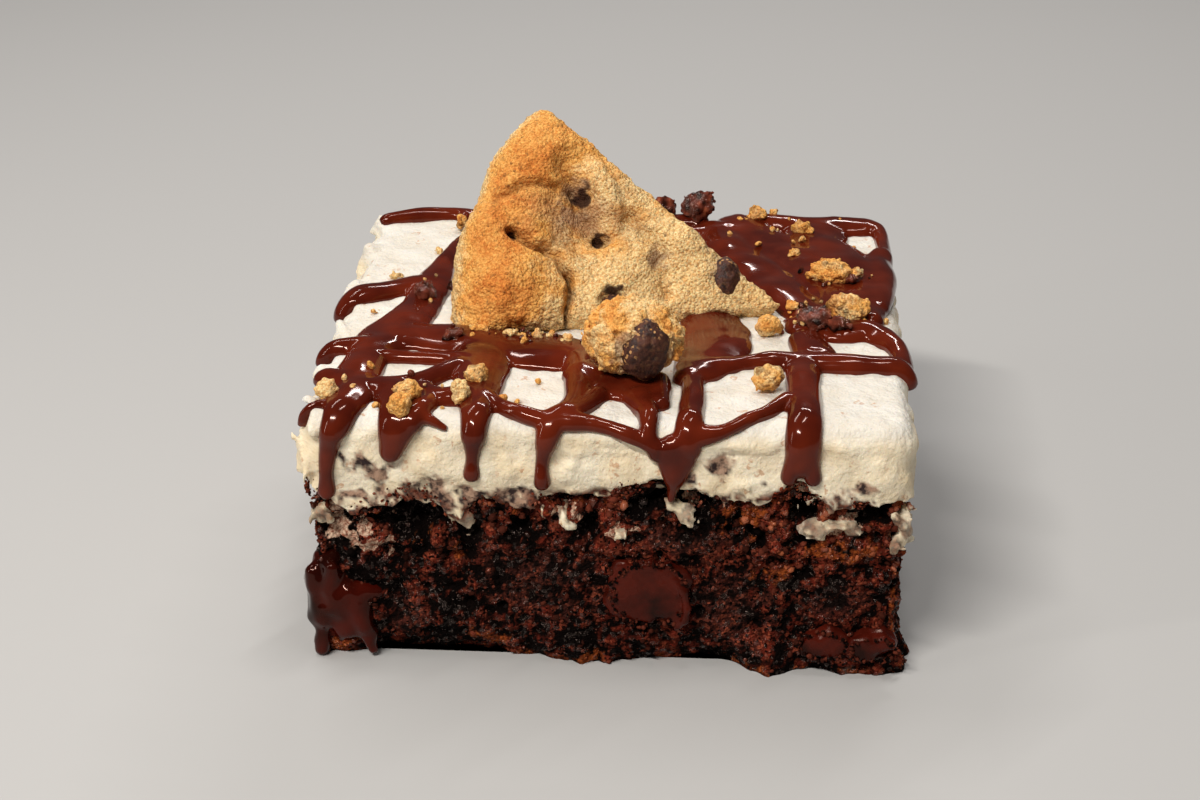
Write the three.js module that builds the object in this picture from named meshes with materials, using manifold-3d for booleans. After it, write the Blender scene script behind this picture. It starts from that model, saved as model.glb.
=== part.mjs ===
// A square of chocolate brownie under a thick layer of buttercream icing. Melted chocolate is drizzled
// over it, a wedge of chocolate chip cookie leans in the icing, and a broken piece of cookie and crumbs
// lie on top. Millimetres, +Z up, the cut front faces -Y, and the origin is the centre of the underside.
import * as THREE from "three";
import { mergeVertices } from "three/addons/utils/BufferGeometryUtils.js";
import Module from "manifold-3d";

const wasm = await Module();
wasm.setup();

// The square.
const WIDTH = 80; // across the cut front
const DEPTH = 78;
const HEIGHT = 36.3; // table to the top of the icing
const SEAM = 25.2; // height where brownie meets icing, on average
const CORNER = 2.6; // radius of the square's upright corners, seen from above
const EDGE = 2.4; // radius where the icing's top turns down
const AROUND = 92; // points round the square
const GAP = 0.3; // between pieces that touch

// The drizzle.
const DRIZZLE_STEP = 4; // along a strand
const DRIZZLE_LEAST = 0.35; // rise of the finest thread over the icing
const DRIZZLE_GROWTH = 0.42; // rise gained for each millimetre of half width
const DRIZZLE_MOST = 1.5;

// The cookie that the wedge was cut from, and how the wedge leans.
const COOKIE_RADIUS = 46.5;
const COOKIE_THICKNESS = 9.5;
const COOKIE_SLICE = 47; // degrees between the two cut sides
const COOKIE_SHOULDER = 6.5; // how far the rounded rim reaches in
const RIM_DROP = 5.2; // from the face to the rim
const FACE_UNEVENNESS = 0.25;
const BACK_UNEVENNESS = 0.2;
const TIP_CUT = 1.2; // how far along each side the broken tip reaches
const SLAB_SPARE = 1; // of the slab past the sector that is cut from it
const SLAB_STEPS = [18, 13];
const WEDGE_TIP = [23.5, -2.0, 38.2];
const WEDGE_TURN = 14.7; // degrees the lower cut side is turned from the square's front
const WEDGE_LEAN = 52; // degrees from lying flat

// Chocolate chips: a round foot and a drawn-out peak.
const CHIP_RADIUS = 3.5;
const CHIP_HEIGHT = 5.2;
const CHIP_LEVELS = 6;
const CHIP_AROUND = 12;
const CHIP_WIDEST = 0.35; // share of its height
const CHIP_FULLNESS = 1.7;

const CHOCOLATE = { color: 0x4a1c10, roughness: 0.25, metalness: 0 };
const DARK_CHOCOLATE = { color: 0x2b1712, roughness: 0.55, metalness: 0 };
const BROWNIE = { color: 0x2e1710, roughness: 0.85, metalness: 0 };
const ICING = { color: 0xeee3cf, roughness: 0.6, metalness: 0 };
const COOKIE = { color: 0xd39a55, roughness: 0.9, metalness: 0 };

const radians = THREE.MathUtils.degToRad;

// A smooth uneven value from -1 to 1, with bumps about three times size across.
function uneven(p, size) {
  const [a, b, c] = [p.x / size, p.y / size, p.z / size];
  const across = Math.sin(2.1 * a + 1.3 * Math.sin(1.7 * b + 0.5));
  const along = Math.sin(2.3 * b + 1.3 * Math.sin(1.9 * c + 1.1));
  const up = Math.sin(2.2 * c + 1.3 * Math.sin(1.8 * a + 2.3));
  return (across + along + up) / 3;
}

// The geometry with its seams welded, and each vertex moved to where the function puts it.
function moved(geometry, place) {
  geometry.deleteAttribute("normal");
  geometry.deleteAttribute("uv");
  const welded = mergeVertices(geometry, 1e-4);
  const positions = welded.attributes.position;
  const p = new THREE.Vector3();
  for (let i = 0; i < positions.count; i += 1) {
    p.fromBufferAttribute(positions, i);
    const to = place(p);
    positions.setXYZ(i, to.x, to.y, to.z);
  }
  return welded;
}

const stay = (p) => p;

function solidOf(geometry) {
  const welded = moved(geometry, stay);
  return new wasm.Manifold(
    new wasm.Mesh({
      numProp: 3,
      vertProperties: new Float32Array(welded.attributes.position.array),
      triVerts: new Uint32Array(welded.index.array),
    }),
  );
}

function geometryOf(solid) {
  const { vertProperties, triVerts } = solid.getMesh();
  const geometry = new THREE.BufferGeometry();
  geometry.setAttribute("position", new THREE.BufferAttribute(vertProperties, 3));
  geometry.setIndex(new THREE.BufferAttribute(triVerts, 1));
  return geometry;
}

const join = (solids) => solids.reduce((whole, next) => whole.add(next));

// The solid without the loose scraps that cutting left beside it.
const largestBody = (solid) => solid.decompose().reduce((a, b) => (a.volume() > b.volume() ? a : b));

// A closed body through rings of points, lowest first: a cylinder whose vertices are moved onto them.
function loft(rings) {
  const levels = rings.length - 1;
  const around = rings[0].length;
  return moved(new THREE.CylinderGeometry(1, 1, levels, around, levels), (p) => {
    const ring = rings[Math.round(p.y + levels / 2)];
    if (Math.hypot(p.x, p.z) < 0.5) {
      const middle = new THREE.Vector3();
      ring.forEach((q) => middle.add(q));
      return middle.divideScalar(around);
    }
    const turn = Math.atan2(p.x, p.z) / (2 * Math.PI);
    return ring[(Math.round(turn * around) + around) % around];
  });
}

// The square's outline, evenly spaced and anticlockwise, each point with its outward direction.
function squareOutline() {
  const [x, y] = [WIDTH / 2 - CORNER, DEPTH / 2 - CORNER];
  const shape = new THREE.Shape();
  shape.absarc(x, -y, CORNER, -Math.PI / 2, 0, false);
  shape.absarc(x, y, CORNER, 0, Math.PI / 2, false);
  shape.absarc(-x, y, CORNER, Math.PI / 2, Math.PI, false);
  shape.absarc(-x, -y, CORNER, Math.PI, 1.5 * Math.PI, false);
  shape.closePath();
  const points = shape.getSpacedPoints(AROUND).slice(0, AROUND);
  return points.map((at, i) => {
    const before = points[(i + AROUND - 1) % AROUND];
    const after = points[(i + 1) % AROUND];
    const along = after.clone().sub(before).normalize();
    return { at, out: new THREE.Vector2(along.y, -along.x) };
  });
}

const OUTLINE = squareOutline();

// A ring round the square at the height and outward shift that the two functions give.
function ring(heightAt, shiftAt) {
  return OUTLINE.map(({ at, out }) => {
    const p = new THREE.Vector3(at.x, at.y, heightAt(at));
    const shift = shiftAt(p);
    return new THREE.Vector3(at.x + out.x * shift, at.y + out.y * shift, p.z);
  });
}

// A ring drawn in towards the middle of the square.
function innerRing(inset, heightAt) {
  const share = 1 - (2 * inset) / WIDTH;
  return OUTLINE.map(({ at }) => new THREE.Vector3(at.x * share, at.y * share, heightAt(at)));
}

// Where the icing sags into the cut front or the crumb rises to meet it: place, rise and half width.
const FRONT_SEAM = [
  { x: -34, rise: -3.0, spread: 4.5 },
  { x: -20, rise: -3.0, spread: 2.8 },
  { x: -12, rise: -1.2, spread: 3 },
  { x: 5, rise: 1.8, spread: 4.5 },
  { x: 25, rise: 2.2, spread: 3 },
];
const SEAM_SWELL = 0.7; // how far the seam wanders up and down
const SIDE_SEAM_SWELL = 1.1; // and how much more on the sides that were not cut last
const FRONT_FADE = 6; // from the cut front to where its own forms have faded out

const bell = (distance, spread) => Math.exp(-((distance / spread) ** 2));
const frontShare = (at, fade) => bell(at.y + DEPTH / 2, fade);
const total = (list, amount) => list.reduce((sum, item) => sum + amount(item), 0);

// The height of the seam at a point of the outline.
function seamHeight(at) {
  const swell = SEAM_SWELL * uneven({ x: at.x, y: at.y, z: 0 }, 5);
  const onFront = frontShare(at, FRONT_FADE);
  const front = total(FRONT_SEAM, (s) => s.rise * bell(at.x - s.x, s.spread));
  const side = SIDE_SEAM_SWELL * uneven({ x: at.x, y: at.y, z: 9 }, 3);
  return SEAM + swell + onFront * front + (1 - onFront) * side;
}

const SEAM_INSET = 7; // the seam is flat this far in
const SEAM_OVERHANG = 1; // of the icing past the crumb below it
const SEAM_RIM_INSET = 0.2;
const SEAM_RIM_WAVE = 0.3;
const SEAM_RISE = 1.5; // how far the brownie reaches into the icing before the icing is cut from it

// The seam's rim and flat, raised, and with the rim drawn in.
function seamRings(rise, drawnIn) {
  return {
    rim: ring(
      (at) => seamHeight(at) + rise,
      (p) => SEAM_RIM_WAVE * uneven(p, 2.5) - SEAM_RIM_INSET - drawnIn,
    ),
    flat: innerRing(SEAM_INSET, () => SEAM + rise),
  };
}

// Hollows torn in the cut front: place, radius and depth.
const HOLLOWS = [
  { x: -25, z: 22, radius: 4, depth: 1.6 },
  { x: 9, z: 23.5, radius: 3.5, depth: 1.8 },
  { x: 25, z: 23, radius: 3, depth: 1.6 },
];
const CRUMB_LEVELS = [0, 2, 6, 11, 16, 21.5]; // heights, as if the seam were level
const CRAG_INSET = 1.1; // mean depth of the crumb behind the square's outline
const COARSE_CRAG = 0.75;
const FINE_CRAG = 0.55;
const FOOT_HEIGHT = 5;
const FOOT_SPREAD = 1.6; // how far the foot stands out at its widest
const FOOT_FADE = 3; // how far the cut front's foot reaches round its two corners

// How far the foot stands out along the cut front: place, spread and half width.
const FRONT_FOOT = [
  { x: -22, out: -3, spread: 9 },
  { x: -3, out: 1.1, spread: 4 },
  { x: 14, out: -4, spread: 4 },
  { x: 22, out: 3, spread: 3 },
  { x: 38, out: 2, spread: 4 },
];

// The crumbly side of the brownie: coarse crags, a foot that spreads unevenly, and hollows in front.
function cragShift(p) {
  const crags = COARSE_CRAG * uneven(p, 3.1) + FINE_CRAG * uneven(p, 1.5);
  const low = Math.max(0, 1 - p.z / FOOT_HEIGHT);
  const sideFoot = FOOT_SPREAD * (0.35 + 0.8 * uneven({ x: p.x, y: p.y, z: 3 }, 4.2));
  const frontFoot = total(FRONT_FOOT, (f) => f.out * bell(p.x - f.x, f.spread));
  const onFront = frontShare(p, FOOT_FADE);
  const foot = low * ((1 - onFront) * sideFoot + onFront * frontFoot);
  const hollow = total(HOLLOWS, (h) => h.depth * bell(Math.hypot(p.x - h.x, p.z - h.z), h.radius));
  return crags + foot - CRAG_INSET - onFront * hollow;
}

// The brownie, which stands a little way into the icing until the icing is cut from it.
function brownieSolid() {
  const seam = seamRings(SEAM_RISE, SEAM_OVERHANG);
  const sides = CRUMB_LEVELS.map((level) =>
    ring((at) => (level * seamHeight(at)) / SEAM, cragShift),
  );
  return solidOf(loft([...sides, seam.rim, seam.flat]));
}

// Melted chocolate that fills the brownie's lower front corner: overlapping rods, most of them down it.
const CORNER_FUDGE = [
  { from: [-37.2, -36.4, 13.6], to: [-36.4, -36.6, 8], radius: 2.6 },
  { from: [-38.9, -36.6, 10.8], to: [-38.6, -37, 6], radius: 2 },
  { from: [-38.4, -37.3, 6], to: [-38.5, -37.9, 1.8], radius: 1.5 },
  { from: [-35.6, -36.6, 9], to: [-35, -36.8, 4.6], radius: 2.7 },
  { from: [-34.2, -37.2, 9.2], to: [-31.2, -37.4, 9.3], radius: 1.7 },
  { from: [-33.4, -37.3, 7], to: [-31.8, -37.8, 2.2], radius: 1.6 },
];

// Lumps of chocolate baked into the crumb: middle, half sizes, tilt, and where the knife cut them.
const FUDGE_LUMPS = {
  fudge_lump_middle: { at: [6, -37.4, 11.1], half: [5, 3, 4.8], tilt: -14, cut: -38.8 },
  fudge_lump_right: { at: [29.3, -38, 4.5], half: [3.2, 2.8, 1.9], tilt: -4, cut: -39.5 },
  fudge_lump_far_right: { at: [36.1, -38.4, 4.2], half: [3.1, 2.8, 1.7], tilt: 2, cut: -39.9 },
};
const LUMP_SQUARENESS = 0.82; // 1 is an ellipsoid, and less is squarer

function rodSolid({ from, to, radius }, grow) {
  const [a, b] = [new THREE.Vector3(...from), new THREE.Vector3(...to)];
  const along = b.clone().sub(a);
  const rod = new THREE.CapsuleGeometry(radius + grow, along.length(), 3, 8);
  const turn = new THREE.Quaternion().setFromUnitVectors(
    new THREE.Vector3(0, 1, 0),
    along.clone().normalize(),
  );
  rod.applyQuaternion(turn);
  rod.translate(...a.add(b).divideScalar(2).toArray());
  return solidOf(rod);
}

const cornerFudge = (grow) => join(CORNER_FUDGE.map((rod) => rodSolid(rod, grow)));

const squarer = (share) => Math.sign(share) * Math.abs(share) ** LUMP_SQUARENESS;

function lumpSolid({ at, half, tilt }, grow) {
  const lump = moved(new THREE.SphereGeometry(1, 12, 7), (p) => {
    const bumpy = 1 + 0.07 * uneven(p, 0.7);
    return new THREE.Vector3(
      squarer(p.x) * (half[0] + grow) * bumpy,
      p.y * (half[1] + grow) * bumpy,
      squarer(p.z) * (half[2] + grow) * bumpy,
    );
  });
  lump.rotateY(radians(-tilt));
  lump.translate(...at);
  return solidOf(lump);
}

const SIDE_SWELL = 0.15; // of the icing's side past the square's outline
const SCALLOP = 0.25;
const LEFT_SCALLOP = 0.55;
const SIDE_SHARES = [0.25, 0.6]; // heights of the side's rings, from the seam to the rounded edge
const EDGE_TURNS = [0, 45, 90].map(radians);

// The icing's side: it swells over the seam and is scalloped, most of all down the left side.
function icingShift(p) {
  const scallop = p.x < -WIDTH / 2 + CORNER ? LEFT_SCALLOP : SCALLOP;
  return SIDE_SWELL + scallop * uneven(p, 1.9);
}

function icingSlab() {
  const seam = seamRings(0, 0);
  const sides = SIDE_SHARES.map((share) =>
    ring((at) => THREE.MathUtils.lerp(seamHeight(at), HEIGHT - EDGE, share), icingShift),
  );
  const edge = EDGE_TURNS.map((turn) =>
    ring(
      () => HEIGHT - EDGE * (1 - Math.sin(turn)),
      (p) => icingShift(p) - EDGE * (1 - Math.cos(turn)),
    ),
  );
  return solidOf(loft([seam.flat, seam.rim, ...sides, ...edge]));
}

// How far a line along the icing gets out, and down, once it has gone this far past the start of the
// rounded edge, and how far it has turned.
function fold(past) {
  const arc = (EDGE * Math.PI) / 2;
  if (past <= 0) return { out: past, down: 0, turn: 0 };
  if (past >= arc) return { out: EDGE, down: EDGE + past - arc, turn: Math.PI / 2 };
  const turn = past / EDGE;
  return { out: EDGE * Math.sin(turn), down: EDGE * (1 - Math.cos(turn)), turn };
}

// The icing as a cloth laid over the square: x and y are as on the top, and run on down the sides.
function drape(x, y) {
  const [sideX, sideY] = [Math.sign(x) || 1, Math.sign(y) || 1];
  const foldX = fold(Math.abs(x) - (WIDTH / 2 - EDGE));
  const foldY = fold(Math.abs(y) - (DEPTH / 2 - EDGE));
  const at = new THREE.Vector3(
    sideX * (WIDTH / 2 - EDGE + foldX.out),
    sideY * (DEPTH / 2 - EDGE + foldY.out),
    HEIGHT - foldX.down - foldY.down,
  );
  const normal = new THREE.Vector3(
    sideX * Math.sin(foldX.turn),
    sideY * Math.sin(foldY.turn),
    Math.cos(Math.max(foldX.turn, foldY.turn)),
  );
  return { at, normal: normal.normalize() };
}

// The strands of the drizzle, each a route over the draped icing with its half width at each point.
const STRANDS = {
  back_rim: [[-38, 34.4, 1.1], [-31, 37, 1.5], [-14, 37.2, 1.4], [2, 36.6, 1.5], [14, 36, 2.4]],
  left_upper: [[-41, 0.6, 1.6], [-37, 3, 2.4], [-32, 6.2, 2.6], [-28, 7, 2.6]],
  left_column: [[-24.6, 31, 0.8], [-26.6, 20, 1.4], [-28, 8, 2.9], [-28.6, 0, 3.1], [-31.5, -12, 4.2]],
  left_edge: [[-31.5, -11, 4], [-33.5, -18, 3.1], [-34.3, -28, 3.5]],
  left_nub: [[-40.6, -17.9, 1.2], [-38, -17.6, 1.7], [-34, -16.8, 2]],
  left_pool: [[-32, -12.5, 4], [-24, -13, 4.7], [-14, -15.4, 5.5], [-4, -18, 4]],
  left_bar: [[-35, -20.8, 1.5], [-28, -20.4, 1.1], [-20, -21, 2]],
  left_lower_bar: [[-31, -30, 1.7], [-26, -28, 1.6], [-20.5, -22.6, 2.2]],
  left_foot: [[-38.2, -27.5, 1.7], [-34, -29.4, 2.9], [-26, -31.8, 2.6], [-19, -32, 2.4]],
  left_thread: [[-35.5, -35.5, 0.7], [-38, -36.4, 0.5], [-41, -36, 0.45]],
  drip_one: [[-33.5, -29.5, 2.7], [-34.6, -37, 2.6], [-36.2, -42, 1.5], [-36.9, -49.4, 1.1]],
  drip_two: [[-29, -30, 2.7], [-27.2, -38, 2.8], [-28.2, -43.6, 1.4]],
  drip_two_tail: [[-26.6, -37.6, 1.4], [-23.5, -38.3, 0.8], [-21, -39.4, 0.4]],
  drip_two_arm: [[-25, -31, 2.4], [-24, -35, 1.9], [-26, -39, 1.7]],
  drip_three: [[-18.2, -20, 4.3], [-17.5, -29, 3.3], [-17.1, -37, 2.2], [-17.6, -46.4, 1.1]],
  window_foot: [[-16.5, -33, 1.5], [-11.5, -37, 1.2], [-5.5, -38, 1.5], [1, -39, 1], [6.3, -41, 1.6]],
  drip_four: [[-4.6, -20, 2.2], [-4.3, -31, 2], [-7, -38.4, 1.9], [-8.4, -47.4, 1.05]],
  chunk_pool: [[-4, -24, 2.8], [2, -27, 4.6], [5, -34, 2.2], [6, -41, 1.5]],
  chunk_arm: [[-1.5, -30, 2], [-4, -35.4, 1.5], [-6.5, -38.4, 1.6]],
  right_arm: [[10.8, -23, 1.8], [11, -31, 1.8], [10.4, -40, 2.2]],
  drip_five: [[9, -40.6, 3], [9, -43.6, 2.3], [8.7, -47.2, 1], [8.5, -49, 0.5]],
  front_pool: [[13, -4, 4.4], [13.8, -10, 5.1], [13.6, -16, 4.8], [10.6, -24, 2.4]],
  right_bar: [[11, -21.5, 2.6], [19, -18.9, 1.4], [28, -18.2, 2.2], [40.6, -18.5, 1.6]],
  right_window_foot: [[11, -39.4, 1.6], [15, -38.9, 1], [19, -36.4, 1.1], [24, -31, 1.5]],
  drip_six: [[25.8, -18, 2.6], [25.7, -31, 2.4], [25.5, -42.4, 2.4]],
  drip_six_left: [[24.6, -41, 1.5], [24, -45.6, 0.9]],
  drip_six_right: [[26.3, -41, 1.5], [26.9, -45.6, 0.9]],
  right_pool: [[27.4, -15.5, 3.2], [26.8, -7, 3.1], [32, -6.6, 3.3], [38.4, -10.6, 1.9], [39.5, -17, 1.7]],
  wedge_pool: [[14, 33, 3.6], [18, 22, 4.8], [22, 11, 4.6], [26.5, 0, 3.6]],
  back_pool_left: [[17, 35.5, 3.8], [22, 27, 6.2], [28, 18, 6.5]],
  back_pool: [[29, 34, 5.2], [29.4, 26, 5.2], [34, 15, 5.6], [35.6, 6, 4.2], [36, -2.6, 2.2]],
  back_pool_foot: [[28, 18, 6.4], [30.5, 8, 5], [31.4, 0, 4]],
  back_pool_rim: [[20, 37.2, 2.6], [30, 36.6, 3.6], [37.5, 36, 2.8]],
  right_rim: [[38.6, 36, 1.4], [39.2, 28, 1.2], [38.2, 20, 2.4], [37.6, 6, 1.9]],
  behind_wedge: [[-24, 30, 1.2], [-11, 24, 1.7], [2, 29, 1.6], [15, 33, 2.4]],
  back_drip_left: [[-26, 36.5, 1.6], [-27, 41, 1.4], [-27.4, 46.4, 0.9]],
  back_drip_middle: [[-4, 36.6, 1.8], [-3.4, 42, 1.6], [-3, 48.6, 1]],
  back_drip_right: [[17, 36.8, 2], [17.6, 42, 1.8], [18, 46.8, 1.1]],
  back_drip_far_right: [[32, 37, 2.4], [32.6, 42.5, 1.9], [33, 49.4, 1]],
};

const drizzleRise = (halfWidth) =>
  Math.min(DRIZZLE_MOST, DRIZZLE_LEAST + DRIZZLE_GROWTH * halfWidth);

// A strand's cross-section, in shares of its half width and rise: a low arch with its foot buried.
const SHOULDER = { across: 0.74, rise: 0.72 };
const BURIED = -0.6;
const ARCH = [
  { across: 0, rise: 1 },
  { across: SHOULDER.across, rise: SHOULDER.rise },
  { across: 1, rise: BURIED },
  { across: -1, rise: BURIED },
  { across: -SHOULDER.across, rise: SHOULDER.rise },
];
const NEARBY = 0.01; // share of a strand's length
const STRAND_END = 0.5; // how much of its section is left at its two ends

// One strand: a five-sided cylinder bent along its route with that arch, drawn in at both ends.
function strandSolid(route) {
  const curve = new THREE.CatmullRomCurve3(route.map((point) => new THREE.Vector3(...point)));
  const steps = Math.max(3, Math.round(curve.getLength() / DRIZZLE_STEP));
  const bent = moved(new THREE.CylinderGeometry(1, 1, steps, ARCH.length, steps), (p) => {
    const share = THREE.MathUtils.clamp(p.y / steps + 0.5, 0, 1);
    const here = curve.getPoint(share);
    const ahead = curve.getPoint(Math.min(1, share + NEARBY));
    const behind = curve.getPoint(Math.max(0, share - NEARBY));
    const { at, normal } = drape(here.x, here.y);
    const along = drape(ahead.x, ahead.y).at.sub(drape(behind.x, behind.y).at).normalize();
    const side = new THREE.Vector3().crossVectors(along, normal).normalize();
    const drawnIn = share < NEARBY || share > 1 - NEARBY ? STRAND_END : 1;
    if (Math.hypot(p.x, p.z) < 0.5) return at;
    const turn = Math.round((Math.atan2(p.x, p.z) / (2 * Math.PI)) * ARCH.length);
    const arch = ARCH[(turn + ARCH.length) % ARCH.length];
    return at
      .addScaledVector(side, arch.across * here.z * drawnIn)
      .addScaledVector(normal, arch.rise * drizzleRise(here.z) * drawnIn);
  });
  const solid = solidOf(bent);
  if (solid.volume() > 0) return solid;
  throw new Error("a strand is inside out");
}

// Crumbs that show from a step away: middle and half sizes.
const CRUMBS = [
  { at: [30.7, 10.6, 38.9], half: [3.6, 2.6, 2.0] },
  { at: [32.6, -3.4, 38.6], half: [3.0, 2.5, 2.5] },
  { at: [27.6, -6.2, 38.2], half: [2.8, 2.2, 1.5] },
  { at: [21, -27.5, 38.1], half: [1.9, 1.9, 1.9] },
  { at: [21.2, -7.5, 37.8], half: [2.2, 1.7, 1.7] },
  { at: [-37.1, -34, 37.9], half: [1.6, 1.4, 1.5] },
  { at: [-26.4, -35.4, 38.3], half: [1.7, 1.5, 1.5] },
  { at: [-27, -38.6, 37.7], half: [1.9, 1.6, 1.6] },
  { at: [-19.6, -34.2, 38], half: [1.3, 1.4, 1.6] },
  { at: [-17.8, -29, 38.4], half: [1.6, 1.5, 1.5] },
  { at: [-28.3, 0.4, 38.3], half: [1.5, 2.3, 1.4] },
  { at: [10.8, 36.6, 38.8], half: [2.8, 2.5, 2.5] },
  { at: [5.2, 36.4, 38.2], half: [2.0, 1.8, 1.9] },
  { at: [20.1, 36, 38.2], half: [1.7, 1.4, 1.3] },
  { at: [27, 31, 38], half: [1.6, 1.4, 1.2] },
];

function crumbSolid({ at, half }) {
  const crumb = moved(new THREE.IcosahedronGeometry(1, 1), (p) => {
    const shifted = new THREE.Vector3(p.x + at[0], p.y + at[1], p.z);
    const bumpy = 1 + 0.16 * uneven(shifted, 0.6);
    return new THREE.Vector3(p.x * half[0], p.y * half[1], p.z * half[2]).multiplyScalar(bumpy);
  });
  crumb.translate(...at);
  return solidOf(crumb);
}

// The wedge's own frame: x from its tip along the lower cut side, y up its face, z through it to the
// back, and the face at z 0.
const wedgeFrame = new THREE.Group();
wedgeFrame.position.set(...WEDGE_TIP);
wedgeFrame.rotation.set(radians(180 - WEDGE_LEAN), 0, radians(180 + WEDGE_TURN), "ZYX");
wedgeFrame.updateMatrix();

// Swells and a sunken middle on the cookie's face: place in the wedge's frame, rise and spread.
const COOKIE_SWELLS = [
  { x: 38.5, y: 6, rise: 2, spread: 6 },
  { x: 33.5, y: 26, rise: 1.5, spread: 6 },
  { x: 27, y: 15, rise: -1.8, spread: 5 },
  { x: 22.6, y: 18, rise: 0.9, spread: 3.5 },
  { x: 21, y: 7, rise: 0.9, spread: 4 },
  { x: 13.5, y: 11, rise: 1, spread: 4 },
];

function cookieFace(x, y) {
  const past = Math.max(0, Math.hypot(x, y) - (COOKIE_RADIUS - COOKIE_SHOULDER)) / COOKIE_SHOULDER;
  const rim = RIM_DROP * (1 - Math.sqrt(Math.max(0, 1 - past * past)));
  const swell = total(COOKIE_SWELLS, (s) => s.rise * bell(Math.hypot(x - s.x, y - s.y), s.spread));
  return rim - swell - FACE_UNEVENNESS * uneven({ x, y, z: 2 }, 1.6);
}

// The sector that the two cuts leave, with a blunt tip.
function sectorShape(grow) {
  const slice = radians(COOKIE_SLICE);
  const radius = COOKIE_RADIUS + grow;
  const shape = new THREE.Shape();
  shape.moveTo(TIP_CUT, -grow);
  shape.lineTo(radius, 0);
  shape.absarc(0, 0, radius, 0, slice, false);
  shape.lineTo(TIP_CUT * Math.cos(slice) - grow, TIP_CUT * Math.sin(slice) + grow);
  shape.lineTo(TIP_CUT / 2 - grow, 0);
  shape.closePath();
  return shape;
}

// The wedge: a slab with the cookie's two faces, cut to the sector.
function wedgeSolid(grow) {
  const across = COOKIE_RADIUS + 2 * SLAB_SPARE;
  const up = COOKIE_RADIUS * Math.sin(radians(COOKIE_SLICE)) + 2 * SLAB_SPARE;
  const slab = moved(new THREE.BoxGeometry(across, up, 1, ...SLAB_STEPS, 1), (p) => {
    const [x, y] = [p.x + across / 2 - SLAB_SPARE, p.y + up / 2 - SLAB_SPARE];
    const back = COOKIE_THICKNESS + BACK_UNEVENNESS * uneven({ x, y, z: 0 }, 4);
    return new THREE.Vector3(x, y, p.z < 0 ? cookieFace(x, y) - grow : back + grow);
  });
  const cut = new THREE.ExtrudeGeometry(sectorShape(grow), {
    depth: 3 * COOKIE_THICKNESS,
    bevelEnabled: false,
    curveSegments: 12,
  });
  cut.translate(0, 0, -COOKIE_THICKNESS);
  const solid = solidOf(slab).intersect(solidOf(cut));
  return solidOf(geometryOf(solid).applyMatrix4(wedgeFrame.matrix));
}

// The broken piece of cookie in front of the wedge.
const CHUNK = { at: [2.6, -25.1, 42.6], half: [6.7, 5.4, 5.3] };
const CHUNK_BUMP = 0.05;
const CHUNK_FLAT = -0.87; // where its underside is flat, in shares of its half height

function chunkSolid(grow) {
  const chunk = moved(new THREE.IcosahedronGeometry(1, 3), (p) => {
    const bumpy = 1 + CHUNK_BUMP * (uneven(p, 0.5) + uneven(p, 0.28));
    return new THREE.Vector3(
      p.x * (CHUNK.half[0] + grow) * bumpy,
      p.y * (CHUNK.half[1] + grow) * bumpy,
      Math.max(p.z, CHUNK_FLAT) * (CHUNK.half[2] + grow) * bumpy,
    );
  });
  chunk.translate(...CHUNK.at);
  return solidOf(chunk);
}

// A chip with its foot at the middle and its peak along the given direction.
function chipSolid({ at, towards, scale }, grow) {
  const profile = [];
  for (let level = 0; level <= CHIP_LEVELS; level += 1) {
    const share = level / CHIP_LEVELS;
    const ends = level === 0 || level === CHIP_LEVELS;
    const reach = ends ? 0 : Math.sqrt(1 - (2 * (share - CHIP_WIDEST)) ** 2 / CHIP_FULLNESS);
    const height = (share - CHIP_WIDEST) * (CHIP_HEIGHT * scale + 2 * grow);
    profile.push(new THREE.Vector2((CHIP_RADIUS * scale + grow) * reach, height));
  }
  const chip = new THREE.LatheGeometry(profile, CHIP_AROUND);
  const turn = new THREE.Quaternion().setFromUnitVectors(
    new THREE.Vector3(0, 1, 0),
    new THREE.Vector3(...towards).normalize(),
  );
  chip.applyQuaternion(turn);
  chip.translate(...at);
  return solidOf(chip);
}

const onWedge = (x, y, z) => new THREE.Vector3(x, y, z).applyMatrix4(wedgeFrame.matrix).toArray();
const WEDGE_FRONT = new THREE.Vector3(0, 0, -1).transformDirection(wedgeFrame.matrix).toArray();

const WEDGE_CHIPS = {
  chip_wedge_tip: { at: onWedge(7.4, 5.4, 1.7), towards: WEDGE_FRONT, scale: 0.92 },
  chip_wedge_low: { at: onWedge(24.6, 2.4, 1.6), towards: WEDGE_FRONT, scale: 0.62 },
};
const CHUNK_CHIPS = {
  chip_chunk: { at: [4.7, -28.3, 42.4], towards: [0.25, -0.9, 0.25], scale: 1.08 },
};

const cake = new THREE.Group();

function show(name, solid, look) {
  const mesh = new THREE.Mesh(geometryOf(solid), new THREE.MeshStandardMaterial(look));
  mesh.name = name;
  cake.add(mesh);
}

// The solid with a pocket for each of the pieces set in it.
function withPockets(solid, pieces, make) {
  return Object.values(pieces).reduce((left, piece) => left.subtract(make(piece, GAP)), solid);
}

const underIcing = brownieSolid().subtract(icingSlab().translate(0, 0, -GAP));
const crumb = withPockets(underIcing, FUDGE_LUMPS, lumpSolid).subtract(cornerFudge(GAP));
show("brownie", largestBody(crumb), BROWNIE);
show("fudge_corner", cornerFudge(0), CHOCOLATE);
Object.entries(FUDGE_LUMPS).forEach(([name, lump]) =>
  show(name, lumpSolid(lump, 0).trimByPlane([0, 1, 0], lump.cut), DARK_CHOCOLATE),
);

const toppings = [...Object.values(STRANDS).map(strandSolid), ...CRUMBS.map(crumbSolid)];
const icing = join([icingSlab(), ...toppings])
  .subtract(wedgeSolid(GAP))
  .subtract(chunkSolid(GAP));
show("icing", icing, ICING);

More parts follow.
